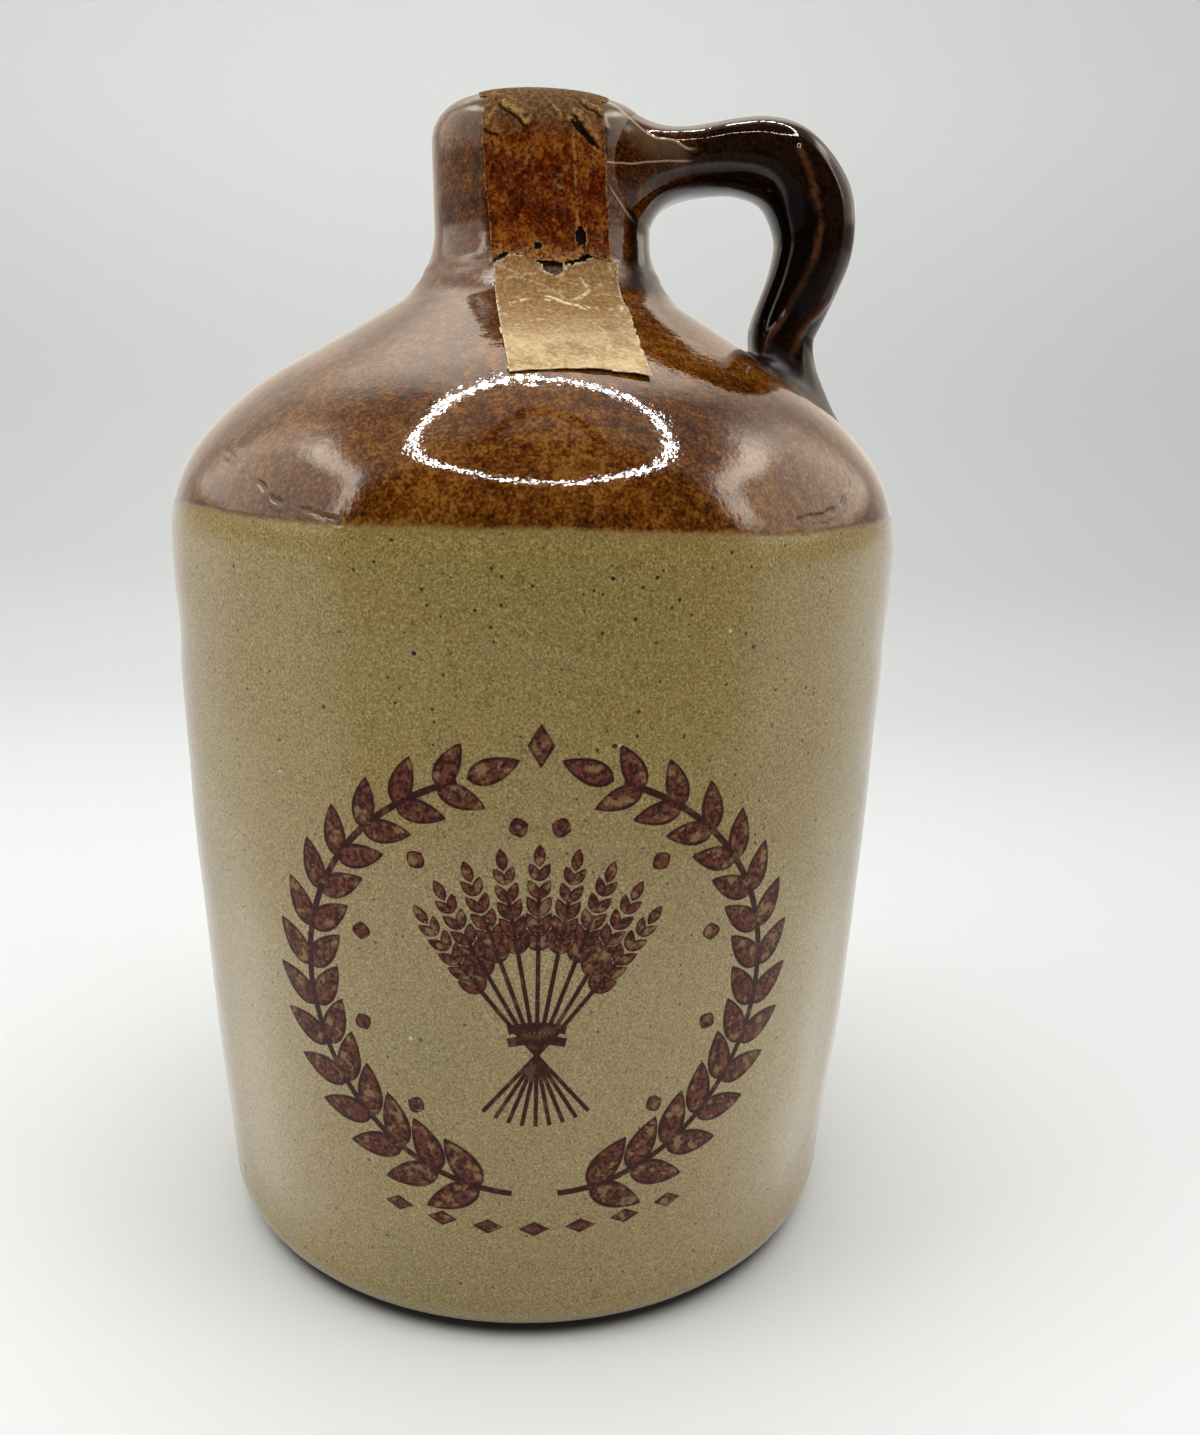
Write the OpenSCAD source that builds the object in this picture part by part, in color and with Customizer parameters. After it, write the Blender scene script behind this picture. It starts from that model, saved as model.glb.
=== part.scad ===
// Stoneware whiskey jug with a luted strap handle, a cork stopper and a torn paper seal.
// Millimetres. The jug stands on z = 0 with its axis on Z, its front towards -Y
// and its handle towards +X.

/* [Body] */
// Largest outer radius of the body, at the shoulder
body_r = 52.4; // [44:0.1:64]
// Outer radius of the wall just above the rounded foot
base_r = 49.4; // [40:0.1:52]
// Radius of the rounded edge round the foot
foot_round = 8.5; // [3:0.1:14]
// Height at which the wall has swelled to the full radius
belly_h = 88; // [60:0.5:98]
// Thickness of the wall
wall = 5.5; // [3.5:0.1:8]
// Thickness of the floor
floor_t = 7; // [4:0.1:12]
// Radius of the inner corner between floor and wall
inner_round = 7; // [2:0.1:14]
// Depth of the shallow waist under the shoulder edge
waist_dip = 0.25; // [0:0.05:1]
// Height of the middle of that waist
waist_h = 94; // [86:0.5:98]
// Height of the waist's half width
waist_half = 7; // [3:0.5:8]

/* [Shoulder] */
// Height at which the wall turns into the shoulder
shoulder_h = 105.5; // [98:0.1:140]
// Radius of the tight bend at the shoulder edge
shoulder_bend_r = 21; // [12:0.1:30]
// Angle through which that bend turns
shoulder_bend_deg = 42; // [30:0.5:50]
// Radius of the flatter dome above the bend
dome_r = 51; // [40:0.1:70]
// Angle from the vertical at which the dome runs out into a straight slope
dome_deg = 60; // [54:0.5:66]

/* [Neck] */
// Outer radius of the neck
neck_r = 15.6; // [13:0.1:20]
// Radius of the hollow between shoulder and neck
neck_fillet_r = 11.3; // [6:0.1:16]
// Length of the straight neck, rim included
neck_len = 15.7; // [10:0.1:30]
// Radius of the bore that holds the stopper
bore_r = 9.25; // [7:0.05:11]
// Radius of the rounding where the bore opens into the shoulder
throat_round = 14; // [8:0.5:18]
// Radius of the rounded outer edge of the rim
rim_round = 4.5; // [2:0.1:5]
// Radius of the rounded edge of the mouth
mouth_round = 1; // [0.3:0.1:1.4]

/* [Handle] */
// How far the handle reaches out from the wall of the neck
handle_span = 27.9; // [24:0.1:36]
// How far the handle's crest lies below the rim
handle_drop = 0.5; // [0:0.1:4]
// Thickness of the strap, that its two roots are scaled from
handle_t = 10; // [8:0.1:13]
// Width of the strap
handle_w = 13; // [10:0.1:18]
// Distance from the wall of the neck to the middle of the lower root
handle_land = 17.9; // [14:0.1:24]

/* [Stopper] */
// Length of the cork
cork_len = 24; // [16:0.5:32]
// How much smaller the cork's radius is at its lower end
cork_taper = 1.1; // [0:0.1:2]
// Chamfer round both ends of the cork
cork_chamfer = 0.6; // [0.2:0.1:1]
// Clearance between cork and bore, on the radius
cork_fit = 0.05; // [0.01:0.01:0.1]

/* [Seal] */
// Width of the paper strip
seal_w = 16.4; // [10:0.1:24]
// Thickness of the paper
seal_t = 0.2; // [0.1:0.05:0.5]
// Turn of the strip on the neck from the front, towards the handle
seal_turn = 6; // [-15:0.5:12]
// Turn of the front tail on the shoulder
tail_turn = 11; // [-15:0.5:14]
// How far the tails reach out from the wall of the neck
tail_reach = 21.2; // [12:0.1:24]
// How far below the straight neck the front strip is torn across
tear_drop = 5; // [1:0.1:8]
// Width of the tear, and of the slit round the cork
tear_gap = 0.4; // [0.2:0.05:1]

/* [Hidden] */
$fn = 96;

// Film of paste between the paper and what it is stuck to
paste_t = 0.03;
// One overrun for every cut
overrun = 2;
// Steps along the wall, each arc, and the small edge arcs
wall_steps = 26;
arc_steps = 14;
edge_steps = 8;
// Steps round and between the handle's stations
ring_sides = 24;
station_steps = 3;
// Distance over which the slope of the shoulder is measured
slope_step = 1;

// Colours of the fired clay, its dipped glaze, the cork and the old paper
clay_colour = [0.60, 0.56, 0.42];
glaze_colour = [0.36, 0.21, 0.08];
cork_colour = [0.72, 0.55, 0.36];
stained_paper = [0.42, 0.25, 0.08];
pale_paper = [0.68, 0.55, 0.36];

// Points on an arc, from one angle to another
function arc(c, r, from, to, steps) =
  [for (i = [0:steps]) let (a = from + (to - from) * i / steps)
    [c[0] + r * cos(a), c[1] + r * sin(a)]];

// Outer radius of the wall at a height between foot and shoulder
function swell(z) = z < belly_h ? pow((belly_h - z) / (belly_h - foot_round), 2) : 0;
function waist(z) =
  abs(z - waist_h) < waist_half ? pow(cos(90 * (z - waist_h) / waist_half), 2) : 0;
function wall_r(z) = body_r - (body_r - base_r) * swell(z) - waist_dip * waist(z);
function wall_pts(inset, low) =
  [for (i = [0:wall_steps - 1]) let (z = low + (shoulder_h - low) * i / wall_steps)
    [wall_r(max(z, foot_round)) - inset, z]];

// Centres of the two shoulder arcs, which every parallel line shares
bend_c = [body_r - shoulder_bend_r, shoulder_h];
bend_dir = [cos(shoulder_bend_deg), sin(shoulder_bend_deg)];
dome_c = bend_c + (shoulder_bend_r - dome_r) * bend_dir;
dome_dir = [cos(dome_deg), sin(dome_deg)];

// Centre of the hollow that joins the slope to a neck or bore of radius r
function hollow_c(inset, r, hollow) =
  let (p = dome_c + (dome_r - inset) * dome_dir,
       run = (p[0] - r - hollow * (1 - dome_dir[0])) / dome_dir[1])
  [r + hollow, p[1] + run * dome_dir[0] + hollow * dome_dir[1]];

// The shoulder from the wall up to the foot of the neck, parallel at an inset
function shoulder_pts(inset, r, hollow) =
  let (c = hollow_c(inset, r, hollow))
  concat(arc(bend_c, shoulder_bend_r - inset, 0, shoulder_bend_deg, arc_steps),
         arc(dome_c, dome_r - inset, shoulder_bend_deg, dome_deg, arc_steps),
         arc(c, hollow, 180 + dome_deg, 180, arc_steps));

neck_foot_h = hollow_c(0, neck_r, neck_fillet_r)[1];
jug_h = neck_foot_h + neck_len;
rim_c = [neck_r - rim_round, jug_h - rim_round];
foot_c = [base_r - foot_round, foot_round];
inner_base_r = wall_r(floor_t + inner_round) - wall;
inner_c = [inner_base_r - inner_round, floor_t + inner_round];
mouth_c = [bore_r + mouth_round, jug_h - mouth_round];

// The outside from the foot to the rim, at an outset for the paper
function outer_top(outset) =
  concat(shoulder_pts(-outset, neck_r + outset, neck_fillet_r - outset),
         arc(rim_c, rim_round + outset, 0, 90, edge_steps));
outer_pts = concat(arc(foot_c, foot_round, -90, 0, edge_steps), wall_pts(0, foot_round),
                   outer_top(0));
inner_pts = concat(arc(mouth_c, mouth_round, 90, 180, edge_steps),
                   [for (i = [3 * arc_steps + 2:-1:0]) shoulder_pts(wall, bore_r, throat_round)[i]],
                   [for (i = [wall_steps - 1:-1:1]) wall_pts(wall, inner_c[1])[i]],
                   arc(inner_c, inner_round, 0, -90, edge_steps));

// The height of the outside of the shoulder at a radius
shoulder_line = shoulder_pts(0, neck_r, neck_fillet_r);
function shoulder_z(r) = lookup(r, shoulder_line);

module jug_body() {
  color(clay_colour)
    rotate_extrude()
      polygon(concat([[0, 0]], outer_pts, inner_pts, [[0, floor_t]]));
}

module jug_envelope() {
  rotate_extrude()
    polygon(concat([[0, 0]], outer_pts, [[0, jug_h]]));
}

// Stations of the handle. Each row is the outer point, the inner point and the width.
// The upper root is measured from the top of the neck wall, in strap thicknesses.
top_root_shares = [
  [-0.61, -0.13, -0.61, -1.53, 1.92],
  [-0.06, -0.11, -0.01, -1.39, 1.52],
  [0.39, -0.18, 0.39, -1.14, 1.21]];
// The free loop is measured from the neck wall and the crest, in span and drop.
loop_shares = [
  [0.32, 0.02, 0.30, 0.30, 1.05],
  [0.50, 0.00, 0.44, 0.31, 1.00],
  [0.68, 0.02, 0.52, 0.34, 1.00],
  [0.84, 0.11, 0.56, 0.39, 1.00],
  [0.96, 0.25, 0.59, 0.45, 1.00],
  [1.00, 0.41, 0.60, 0.50, 1.00],
  [0.99, 0.56, 0.59, 0.58, 1.00],
  [0.93, 0.70, 0.56, 0.67, 0.98],
  [0.87, 0.82, 0.52, 0.76, 0.97],
  [0.83, 0.91, 0.49, 0.83, 0.98]];
// The lower root is measured down the slope and square to it, in strap thicknesses.
foot_root_shares = [
  [0.41, 0.26, -0.56, 0.00, 1.06],
  [0.72, 0.09, -0.49, -0.37, 1.23],
  [1.17, -0.02, -0.22, -0.72, 1.46],
  [1.46, -0.19, 0.22, -0.88, 1.54]];

land_r = neck_r + handle_land;
land = [land_r, shoulder_z(land_r)];
down_step = [land_r + slope_step, shoulder_z(land_r + slope_step)] - land;
down_dir = down_step / norm(down_step);
out_dir = [-down_dir[1], down_dir[0]];
crest_h = jug_h - handle_drop;
loop_drop = crest_h - land[1];

function top_point(a, b) = [neck_r + a * handle_t, jug_h + b * handle_t];
function loop_point(a, b) = [neck_r + a * handle_span, crest_h - b * loop_drop];
function foot_point(a, b) = land + a * handle_t * down_dir + b * handle_t * out_dir;

// One station as outer x, outer z, inner x, inner z and width
stations = concat(
  [for (s = top_root_shares)
    concat(top_point(s[0], s[1]), top_point(s[2], s[3]), [s[4] * handle_w])],
  [for (s = loop_shares)
    concat(loop_point(s[0], s[1]), loop_point(s[2], s[3]), [s[4] * handle_w])],
  [for (s = foot_root_shares)
    concat(foot_point(s[0], s[1]), foot_point(s[2], s[3]), [s[4] * handle_w])]);

// A smooth curve through four stations, at t between the middle two
function through(a, b, c, d, t) =
  (2 * b + (c - a) * t + (2 * a - 5 * b + 4 * c - d) * t * t
   + (3 * b - a - 3 * c + d) * t * t * t) / 2;
last_station = len(stations) - 1;
function station(i) = stations[min(max(i, 0), last_station)];
smooth_stations = concat(
  [for (i = [0:last_station - 1], k = [0:station_steps - 1])
    through(station(i - 1), station(i), station(i + 1), station(i + 2), k / station_steps)],
  [stations[last_station]]);

// An oval ring across the strap
function oval(s) =
  let (mid = [s[0] + s[2], s[1] + s[3]] / 2, half = [s[0] - s[2], s[1] - s[3]] / 2)
  [for (k = [0:ring_sides - 1]) let (a = 360 * k / ring_sides, q = mid + half * cos(a))
    [q[0], s[4] / 2 * sin(a), q[1]]];

module strap() {
  rings = [for (s = smooth_stations) oval(s)];
  count = len(rings);
  points = [for (r = rings, p = r) p];
  sides = [for (i = [0:count - 2], k = [0:ring_sides - 1])
    let (a = i * ring_sides + k, b = i * ring_sides + (k + 1) % ring_sides)
    each [[a, a + ring_sides, b], [b, a + ring_sides, b + ring_sides]]];
  near_cap = [[for (k = [0:ring_sides - 1]) k]];
  far_cap = [[for (k = [ring_sides - 1:-1:0]) (count - 1) * ring_sides + k]];
  polyhedron(points = points, faces = concat(sides, near_cap, far_cap), convexity = 6);
}

module handle() {
  color(glaze_colour)
    difference() {
      strap();
      jug_envelope();
    }
}

module cork_stopper() {
  top_r = bore_r - cork_fit;
  tip_r = top_r - cork_taper;
  color(cork_colour)
    translate([0, 0, jug_h - cork_len])
      rotate_extrude()
        polygon([[0, 0], [tip_r - cork_chamfer, 0], [tip_r, cork_chamfer],
                 [top_r, cork_len - cork_chamfer], [top_r - cork_chamfer, cork_len],
                 [0, cork_len]]);
}

// A sheet of paper that lies on the shoulder, neck and rim, as far as the slit
module paper_shell() {
  slit_r = bore_r + tear_gap / 2;
  near = outer_top(paste_t);
  far = outer_top(paste_t + seal_t);
  rotate_extrude()
    polygon(concat(far, [[slit_r, jug_h + paste_t + seal_t], [slit_r, jug_h + paste_t]],
                   [for (i = [len(near) - 1:-1:0]) near[i]]));
}

// The part of the paper in front of the axis, at a turn, between two heights
module strip_part(turn, reach, low, high) {
  rotate(turn)
    intersection() {
      rotate(-turn) paper_shell();
      translate([-seal_w / 2, -reach, low])
        cube([seal_w, reach, high - low]);
    }
}

tear_h = neck_foot_h - tear_drop;
tail_r = neck_r + tail_reach;
seal_low = shoulder_h;
seal_high = jug_h + overrun;

module seal_neck_front() {
  color(stained_paper)
    strip_part(seal_turn, tail_r, tear_h + tear_gap / 2, seal_high);
}

module seal_shoulder_front() {
  color(pale_paper)
    strip_part(tail_turn, tail_r, seal_low, tear_h - tear_gap / 2);
}

module seal_back() {
  color(pale_paper)
    strip_part(180 + seal_turn, tail_r, seal_low, seal_high);
}

module seal_crown() {
  crown_r = bore_r - tear_gap / 2;
  color(stained_paper)
    rotate(seal_turn)
      translate([0, 0, jug_h + paste_t])
        intersection() {
          cylinder(r = crown_r, h = seal_t);
          translate([-seal_w / 2, -crown_r, -overrun])
            cube([seal_w, 2 * crown_r, seal_t + 2 * overrun]);
        }
}

jug_body();
handle();
cork_stopper();
seal_crown();
seal_neck_front();
seal_shoulder_front();
seal_back();
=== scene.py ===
"""Looks of a stoneware whiskey jug: dipped brown shoulder, oatmeal body, fired print,
strap handle, cork stopper and a torn paper seal. Metres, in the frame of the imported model."""

import math

import bpy
from mathutils import Euler, Matrix, Vector, noise
from mathutils.bvhtree import BVHTree


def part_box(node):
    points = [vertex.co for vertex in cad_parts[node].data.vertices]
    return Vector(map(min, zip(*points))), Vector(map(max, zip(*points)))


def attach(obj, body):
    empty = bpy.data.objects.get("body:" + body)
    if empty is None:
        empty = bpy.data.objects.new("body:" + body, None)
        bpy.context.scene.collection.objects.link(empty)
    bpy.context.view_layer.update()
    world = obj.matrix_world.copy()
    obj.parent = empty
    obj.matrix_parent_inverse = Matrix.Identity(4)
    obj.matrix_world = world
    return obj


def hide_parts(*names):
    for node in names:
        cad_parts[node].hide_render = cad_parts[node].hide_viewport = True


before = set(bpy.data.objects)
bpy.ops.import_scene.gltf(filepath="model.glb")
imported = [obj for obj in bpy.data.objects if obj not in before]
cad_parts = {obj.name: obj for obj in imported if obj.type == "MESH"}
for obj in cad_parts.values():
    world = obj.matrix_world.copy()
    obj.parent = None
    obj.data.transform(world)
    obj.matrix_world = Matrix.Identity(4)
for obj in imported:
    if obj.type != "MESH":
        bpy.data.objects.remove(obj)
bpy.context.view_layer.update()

MM = 0.001

# Sizes of the jug. The height and the body's radius are the frame's own.
jug_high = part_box("jug_body")[1]
JUG_H = jug_high[2]
BODY_R = jug_high[0]
BASE_R = 49.4 * MM
FOOT_ROUND = 8.5 * MM
WALL = 5.5 * MM
FLOOR_T = 7 * MM
INNER_ROUND = 7 * MM
BELLY_H = 88 * MM
WAIST_DIP = 0.25 * MM
WAIST_H = 94 * MM
WAIST_HALF = 7 * MM
SHOULDER_H = 105.5 * MM
BEND_R = 21 * MM
BEND_DEG = 42
DOME_R = 51 * MM
DOME_DEG = 60
NECK_R = 15.3 * MM
NECK_FILLET = 11.3 * MM
BORE_R = 9.25 * MM
THROAT_ROUND = 14 * MM
RIM_ROUND = 4.9 * MM
MOUTH_ROUND = 1 * MM
GLAZE_LINE = 110.9 * MM

# Where the strip of paper lies, with turns in degrees from the front, and how it is torn
SEAL_W = 16.4 * MM
SEAL_T = 0.11 * MM
SEAL_TURN = 6
TAIL_TURN = 11
TAIL_REACH = 36.8 * MM
TEAR_DROP = 5 * MM

# Steps of the turned surfaces
SIDES = 192
ARC_STEP = 1.3 * MM
HOLLOW_STEP = 0.35 * MM


# Helpers for modelling


def deselect():
    bpy.ops.object.select_all(action="DESELECT")


def activate(obj):
    deselect()
    obj.select_set(True)
    bpy.context.view_layer.objects.active = obj


def edit(obj):
    activate(obj)
    bpy.ops.object.mode_set(mode="EDIT")
    bpy.ops.mesh.select_mode(type="VERT")


def leave():
    bpy.ops.object.mode_set(mode="OBJECT")


def choose(obj, wanted):
    """Enters edit mode with just the wanted vertices selected."""
    edit(obj)
    bpy.ops.mesh.select_all(action="DESELECT")
    leave()
    for vertex in obj.data.vertices:
        vertex.select = wanted(vertex)
    bpy.ops.object.mode_set(mode="EDIT")


def choose_faces(obj, wanted):
    """Enters edit mode with just the wanted faces selected."""
    edit(obj)
    bpy.ops.mesh.select_all(action="DESELECT")
    bpy.ops.mesh.select_mode(type="FACE")
    leave()
    for face in obj.data.polygons:
        face.select = wanted(face)
    bpy.ops.object.mode_set(mode="EDIT")


def named(name):
    """The object that an operator has just added, under its own name."""
    obj = bpy.context.object
    obj.name = name
    obj.data.name = name
    return obj


def modify(obj, kind, **values):
    """Adds a modifier, sets it and applies it."""
    activate(obj)
    modifier = obj.modifiers.new(kind.lower(), kind)
    for key, value in values.items():
        setattr(modifier, key, value)
    bpy.ops.object.modifier_apply(modifier=modifier.name)


def settle(obj):
    """Puts the object's place into its mesh."""
    activate(obj)
    bpy.ops.object.transform_apply(location=True, rotation=True, scale=True)


def smooth(obj, degrees=40):
    activate(obj)
    bpy.ops.object.shade_smooth_by_angle(angle=math.radians(degrees))


def outward(obj):
    """Merges doubles and turns every face outwards."""
    edit(obj)
    bpy.ops.mesh.select_all(action="SELECT")
    bpy.ops.mesh.remove_doubles(threshold=1e-7)
    bpy.ops.mesh.normals_make_consistent(inside=False)
    leave()


def join(name, parts):
    activate(parts[0])
    for part in parts:
        part.select_set(True)
    bpy.ops.object.join()
    return named(name)


def group_where(obj, name, weight):
    """A vertex group whose weight is a function of a vertex's place."""
    group = obj.vertex_groups.new(name=name)
    for vertex in obj.data.vertices:
        group.add([vertex.index], weight(vertex.co), "REPLACE")


def mark_points(obj, name, values):
    """A point attribute, from a value for each vertex."""
    attribute = obj.data.attributes.new(name, "FLOAT", "POINT")
    attribute.data.foreach_set("value", values)


def clouds(name, size, depth=2):
    texture = bpy.data.textures.new(name, "CLOUDS")
    texture.noise_scale = size
    texture.noise_depth = depth
    return texture


def smoothstep(low, high, x):
    t = min(max((x - low) / (high - low), 0), 1)
    return t * t * (3 - 2 * t)


def bump_at(x, middle, half):
    """1 in the middle, falling smoothly to 0 at half either side."""
    return 1 - smoothstep(0, half, abs(x - middle))


# Outline of the jug


def arc(centre, radius, start, end, step=ARC_STEP):
    """Points of an arc between two angles in degrees."""
    steps = max(6, int(abs(math.radians(end - start)) * radius / step))
    points = []
    for i in range(steps + 1):
        angle = math.radians(start + (end - start) * i / steps)
        points.append((centre[0] + radius * math.cos(angle), centre[1] + radius * math.sin(angle)))
    return points


def wall_radius(z):
    """Radius of the outside below the shoulder."""
    swell = ((BELLY_H - z) / (BELLY_H - FOOT_ROUND)) ** 2 if z < BELLY_H else 0
    off = (z - WAIST_H) / WAIST_HALF
    waist = math.cos(math.pi / 2 * off) ** 2 if abs(off) < 1 else 0
    return BODY_R - (BODY_R - BASE_R) * swell - WAIST_DIP * waist


def wall(inset, low):
    """The wall's line up to the shoulder, set in from the outside."""
    steps = int((SHOULDER_H - low) / ARC_STEP)
    heights = [low + (SHOULDER_H - low) * i / steps for i in range(steps)]
    return [(wall_radius(max(z, FOOT_ROUND)) - inset, z) for z in heights]


BEND_DIR = (math.cos(math.radians(BEND_DEG)), math.sin(math.radians(BEND_DEG)))
DOME_DIR = (math.cos(math.radians(DOME_DEG)), math.sin(math.radians(DOME_DEG)))
BEND_C = (BODY_R - BEND_R, SHOULDER_H)
DOME_C = (BEND_C[0] + (BEND_R - DOME_R) * BEND_DIR[0], BEND_C[1] + (BEND_R - DOME_R) * BEND_DIR[1])


def hollow_centre(inset, radius, hollow):
    """Centre of the hollow between the slope of the shoulder and a neck or bore."""
    r = DOME_C[0] + (DOME_R - inset) * DOME_DIR[0]
    z = DOME_C[1] + (DOME_R - inset) * DOME_DIR[1]
    run = (r - radius - hollow * (1 - DOME_DIR[0])) / DOME_DIR[1]
    return (radius + hollow, z + run * DOME_DIR[0] + hollow * DOME_DIR[1])


def shoulder(inset, radius, hollow):
    """The line from the wall's top over the shoulder to a neck or bore of some radius."""
    centre = hollow_centre(inset, radius, hollow)
    return (arc(BEND_C, BEND_R - inset, 0, BEND_DEG)
            + arc(DOME_C, DOME_R - inset, BEND_DEG, DOME_DEG)[1:]
            + arc(centre, hollow, 180 + DOME_DEG, 180, HOLLOW_STEP))


def dense(points, step):
    """The same line with no gap longer than a step."""
    line = [points[0]]
    for a, b in zip(points, points[1:]):
        count = max(1, math.ceil(math.dist(a, b) / step))
        line += [(a[0] + (b[0] - a[0]) * i / count, a[1] + (b[1] - a[1]) * i / count)
                 for i in range(1, count + 1)]
    return line


NECK_FOOT = hollow_centre(0, NECK_R, NECK_FILLET)[1]
outside = (arc((BASE_R - FOOT_ROUND, FOOT_ROUND), FOOT_ROUND, -90, 0)
           + wall(0, FOOT_ROUND)[1:]
           + shoulder(0, NECK_R, NECK_FILLET)
           + arc((NECK_R - RIM_ROUND, JUG_H - RIM_ROUND), RIM_ROUND, 0, 90))
inner_low = FLOOR_T + INNER_ROUND
inner_centre = (wall_radius(inner_low) - WALL - INNER_ROUND, inner_low)
inside = (arc((BORE_R + MOUTH_ROUND, JUG_H - MOUTH_ROUND), MOUTH_ROUND, 90, 180)
          + shoulder(WALL, BORE_R, THROAT_ROUND)[::-1]
          + wall(WALL, inner_low)[:0:-1]
          + arc(inner_centre, INNER_ROUND, 0, -90))

# The crease where the neck was joined on, as a swelling below it
CREASE_H = 142.0 * MM
CREASE_HALF = 1.0 * MM
CREASE_RISE = 0.13 * MM


def creased(r, z):
    return r + CREASE_RISE * bump_at(z, CREASE_H, CREASE_HALF) if r > NECK_R else r


# The meridian that the paper follows, from the mouth outwards and down
SLIT = 0.2 * MM
meridian = dense([(creased(r, z), z) for r, z in outside[::-1]], 0.4 * MM)
meridian = dense([(BORE_R + SLIT, JUG_H), meridian[0]], 0.4 * MM)[:-1] + meridian
meridian_run = [0]
for a, b in zip(meridian, meridian[1:]):
    meridian_run.append(meridian_run[-1] + math.dist(a, b))


def on_meridian(run):
    """Radius, height and outward normal of the jug's outside, a run from the mouth."""
    low, high = 0, len(meridian_run) - 1
    while high - low > 1:
        middle = (low + high) // 2
        if meridian_run[middle] <= run:
            low = middle
        else:
            high = middle
    share = (run - meridian_run[low]) / (meridian_run[high] - meridian_run[low])
    a, b = meridian[low], meridian[high]
    before, after = meridian[max(low - 2, 0)], meridian[min(high + 2, len(meridian) - 1)]
    length = math.dist(before, after)
    normal = ((before[1] - after[1]) / length, (after[0] - before[0]) / length)
    return a[0] + (b[0] - a[0]) * share, a[1] + (b[1] - a[1]) * share, normal


def run_to_height(z):
    return next(run for run, point in zip(meridian_run, meridian)
                if point[1] <= z and point[0] > BORE_R + 2 * MOUTH_ROUND)


def run_to_radius(r):
    return next(run for run, point in zip(meridian_run, meridian)
                if point[0] >= r and point[1] < NECK_FOOT)


# Stoneware body


def spin_body():
    """The hollow body, its outline spun about the axis."""
    profile = dense([(0, 0)] + outside, 3 * MM) + dense(inside + [(0, FLOOR_T)], 3 * MM)
    profile = [(creased(r, z), z) for r, z in profile]
    bpy.ops.mesh.primitive_plane_add(size=MM, location=(0, 0, 0))
    body = named("jug_body_fired")
    edit(body)
    bpy.ops.mesh.select_all(action="SELECT")
    bpy.ops.mesh.merge(type="CENTER")
    for (r0, z0), (r1, z1) in zip(profile, profile[1:]):
        bpy.ops.mesh.extrude_region_move(
            TRANSFORM_OT_translate={"value": (r1 - r0, 0, z1 - z0)})
    bpy.ops.mesh.select_all(action="SELECT")
    bpy.ops.mesh.spin(steps=SIDES, angle=2 * math.pi, center=(0, 0, 0), axis=(0, 0, 1))
    leave()
    outward(body)
    return body


def outside_share(co):
    """1 on the part of the body that the hand and eye meet, 0 at the foot, rim and inside."""
    r = math.hypot(co.x, co.y)
    if r < NECK_R - 3 * MM or r < wall_radius(max(co.z, FOOT_ROUND)) - WALL / 2 and co.z < SHOULDER_H:
        return 0
    return smoothstep(2 * MM, 14 * MM, co.z) * (1 - smoothstep(JUG_H - 16 * MM, JUG_H - 2 * MM, co.z))


# Places of flaws: azimuth in degrees from the front towards the handle, height in mm, and for
# a pit its radius in mm
LEFT_CRAWL = [(-50.4, 117.9), (-43.9, 116.4), (-37.0, 114.9), (-33.9, 113.1), (-31.0, 112.4),
              (-27.0, 112.1), (-22.2, 111.2)]
RIGHT_CRAWL = [(58.0, 117.6), (55.2, 115.9), (51.0, 113.8), (45.7, 113.0), (38.3, 112.1)]
BASE_PITS = [(13.9, 8.5, 1.0), (10.6, 8.0, 0.6), (16.6, 8.9, 0.5), (-9.2, 8.8, 0.6), (-12.6, 6.9, 0.5),
             (-58.0, 12.0, 0.7), (121.0, 8.0, 0.8), (205.0, 10.5, 0.7)]
CRAWL_HALF = 0.44 * MM
CRAWL_DEPTH = 0.16 * MM
# Heights between which the crawl lines lie, and under which the pits lie
CRAWL_LOW = GLAZE_LINE - 2 * MM
CRAWL_TOP = 122 * MM
PIT_TOP = 16 * MM
# How near to a flaw the faces are cut finer, and how far the crawl lines wander
CRAWL_NEAR = 2.2 * MM
PIT_NEAR = 2.4 * MM
CRAWL_WANDER = 0.35 * MM


def slope_point(azimuth, height):
    """A point of the outside. The azimuth is in degrees, 0 in front and 90 at the handle, and
    the height is in mm."""
    r, z = on_meridian(run_to_height(height * MM))[:2]
    turn = math.radians(azimuth)
    return Vector((r * math.sin(turn), -r * math.cos(turn), z))


def off_line(point, line):
    """Distance from a point to a line of points."""
    nearest = math.inf
    for a, b in zip(line, line[1:]):
        span = b - a
        share = min(max((point - a).dot(span) / span.length_squared, 0), 1)
        nearest = min(nearest, (point - a - span * share).length)
    return nearest


def refine(body, near, cuts):
    """Cuts the faces about a flaw finer."""
    choose_faces(body, lambda face: near(face.center))
    bpy.ops.mesh.subdivide(number_cuts=cuts, smoothness=0)
    leave()


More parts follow.
